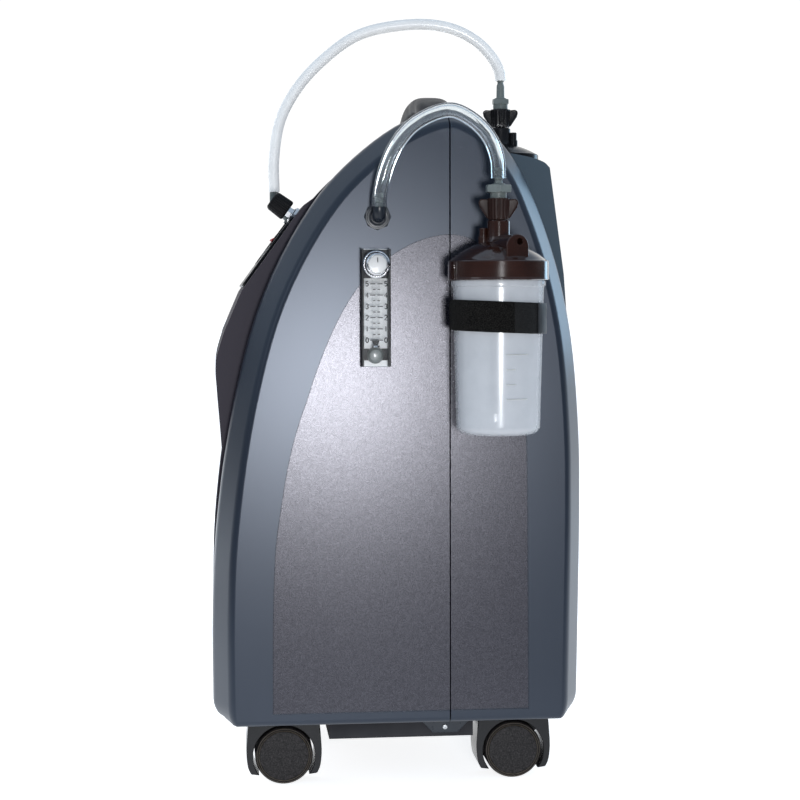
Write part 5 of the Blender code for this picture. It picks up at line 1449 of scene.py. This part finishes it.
def louvred(hole, inner, outer, count, grip=False):
    """A plate in a hole of the back wall, with level slots and a sloping slat in each."""
    (x0, z0), (x1, z1) = hole
    cx, cz = (x0 + x1) / 2, (z0 + z1) / 2
    turn = Matrix.Rotation(math.radians(90), 4, "X")
    plate = round_box((x1 - x0) / 2 - 0.0006, (z1 - z0) / 2 - 0.0006, 0.003, -outer, -inner, 0.0006)
    plate = moved(plate, Matrix.Translation((cx, 0.0, cz)) @ turn)
    pitch = (z1 - z0 - 0.016) / count
    slots, slats = [], []
    for i in range(count):
        z = z0 + 0.008 + pitch * (i + 0.5)
        ends = arc((x1 - 0.009 - pitch * 0.25, z), pitch * 0.25, -90, 90, 6)
        ends += arc((x0 + 0.009 + pitch * 0.25, z), pitch * 0.25, 90, 270, 6)
        slots.append(prism(ends, 0.12, 0.18, "y"))
        half = pitch * 0.22
        slats.append(prism([(inner + 0.0001, z - half), (inner + 0.0009, z - half),
                            (outer - 0.0006, z + half), (outer - 0.0014, z + half)], x0 + 0.008, x1 - 0.008))
    plate = cut(plate, *slots)
    if grip:
        thumb = moved(lathe([(0.0, -0.0016), (0.0070, -0.0016), (0.0095, 0.0004), (0.0, 0.0004)], 48),
                      aim(REARWARD, (cx, outer, z1 - 0.0045)) @ Matrix.Diagonal((1.6, 0.36, 1.0, 1.0)))
        plate = cut(plate, thumb)
    return gather(plate, *slats)


def make_grilles():
    """The filter door, which has a thumb recess, and the exhaust grille."""
    plate_inner = 0.1475
    door, vent = louvred(FILTER_HOLE, plate_inner, 0.1520, 8, True), louvred(VENT_HOLE, plate_inner, 0.1510, 7)
    add("filter_door_face", door, SKINS["charcoal"], body="filter_door", slot="grille",
        stands_for=["filter_door"])
    add("vent_face", vent, SKINS["charcoal"], slot="grille", stands_for=["vent_grille"])


def make_inlet():
    """The mains socket with its three pins, and the reset button above it."""
    (x0, z0), (x1, z1) = INLET_HOLE
    cx, cz = (x0 + x1) / 2, (z0 + z1) / 2
    face = Matrix.Translation((cx, 0.0, cz)) @ Matrix.Rotation(math.radians(90), 4, "X")
    flange = moved(round_box(0.0190, 0.0140, 0.004, -0.1525, -0.1501, 0.0005), face)
    housing = box((x0 + 0.0005, 0.1260, z0 + 0.0005), (x1 - 0.0005, 0.1515, z1 - 0.0005))
    chamfered = [(-0.0120, -0.0080), (0.0120, -0.0080), (0.0120, 0.0040), (0.0080, 0.0080), (-0.0080, 0.0080),
                 (-0.0120, 0.0040)]
    socket = prism([(cx + x, cz + z) for x, z in chamfered], 0.1290, 0.1600, "y")
    pins = [rounded(box((cx + dx - 0.001, 0.1280, cz + dz - 0.002),
                        (cx + dx + 0.001, 0.1460, cz + dz + 0.002)), 0.0004, 2)
            for dx, dz in ((-0.007, -0.002), (0.007, -0.002), (0.0, 0.003))]
    add("inlet_housing", cut(join(flange, housing), socket), SKINS["black"], slot="black_plastic",
        stands_for=["power_inlet"])
    add("inlet_pins", gather(*pins), SKINS["steel"])
    cap = lathe([(0.0, -0.0200), (0.0030, -0.0200), (0.0044, -0.0190), (0.0044, 0.0028), (0.0041, 0.0036),
                 (0.0034, 0.0042), (0.0, 0.0042)])
    add("breaker_cap", cap, SKINS["black_gloss"], body="breaker_button", at=BREAKER_AT, slot="black_plastic",
        turn=Matrix.Rotation(math.radians(-90), 3, "X"), stands_for=["breaker_button"])
    collar = turned([(0.0047, 0.0), (0.0078, 0.0), (0.0078, 0.0010), (0.0068, 0.0018), (0.0047, 0.0018)],
                    REARWARD, BREAKER_AT)
    add("breaker_collar", collar, SKINS["steel"])


def make_screws():
    """The screws of the back, (X, Z, Y, radius) each, and those under the base."""
    (x0, z0), (x1, z1) = INLET_HOLE
    cx, cz = (x0 + x1) / 2, (z0 + z1) / 2
    spots = [(cx - 0.0165, cz, 0.1525, 0.0016), (cx + 0.0165, cz, 0.1525, 0.0016)]
    spots += [(x, z, REAR_Y, 0.0032) for x in (-0.0980, 0.0980) for z in (0.0750, 0.2250, 0.3750)]
    heads = [moved(screw(r, r * 0.45), aim(REARWARD, (x, y, z))) for x, z, y, r in spots]
    add("back_screws", gather(*heads), SKINS["steel"])
    under = [moved(screw(0.0030, 0.0012), aim(DOWN, (x, y, 0.0605)))
             for x in (-0.0700, 0.0700) for y in (-0.1300, 0.1300)]
    pan = [moved(screw(0.0030, 0.0010), aim(DOWN, (x, y, 0.0430)))
           for x in (-0.1200, 0.1200) for y in (-0.0450, 0.0450)]
    tab = moved(screw(0.0022, 0.0010), aim(LEFT, (0.1420, *TAB_SCREW)))
    add("base_screws", gather(*under, *pan, tab), SKINS["pressed"])


def finish_cad_nodes():
    """The pieces that keep their first shape get softened edges and a surface of their own."""
    for skin, edge, names in (
            ("dark", 0.0008, ("base_tray",)),
            ("pressed", 0.0004, ("chassis",)),
            ("aluminium", 0.0010, ("compressor", "valve_manifold", "oxygen_tank", "sieve_bed_left",
                                   "sieve_bed_right")),
            ("black", 0.0004, ("fan_housing", "fan_rotor")),
            ("board", 0.0002, ("control_board",)),
            ("foam", 0.0006, ("intake_filter",))):
        for name in names:
            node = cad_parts[name]
            node.data.materials.clear()
            node.data.materials.append(SKINS[skin])
            bevel = node.modifiers.new("edges", "BEVEL")
            bevel.width, bevel.segments, bevel.limit_method = edge, 2, "ANGLE"
            bevel.angle_limit = math.radians(50)


make_panel()
make_buttons()
make_valve()
make_outlets()
make_meter_block()
make_meter_marks()
make_meter_knob()
make_bottle(SIDE_BOTTLE, "brown", "satin", "lid_brown")
make_bottle(REAR_BOTTLE, "black_gloss", "black_gloss", "lid_black")
make_strap()
make_casters()
make_grilles()
make_inlet()
make_screws()
finish_cad_nodes()
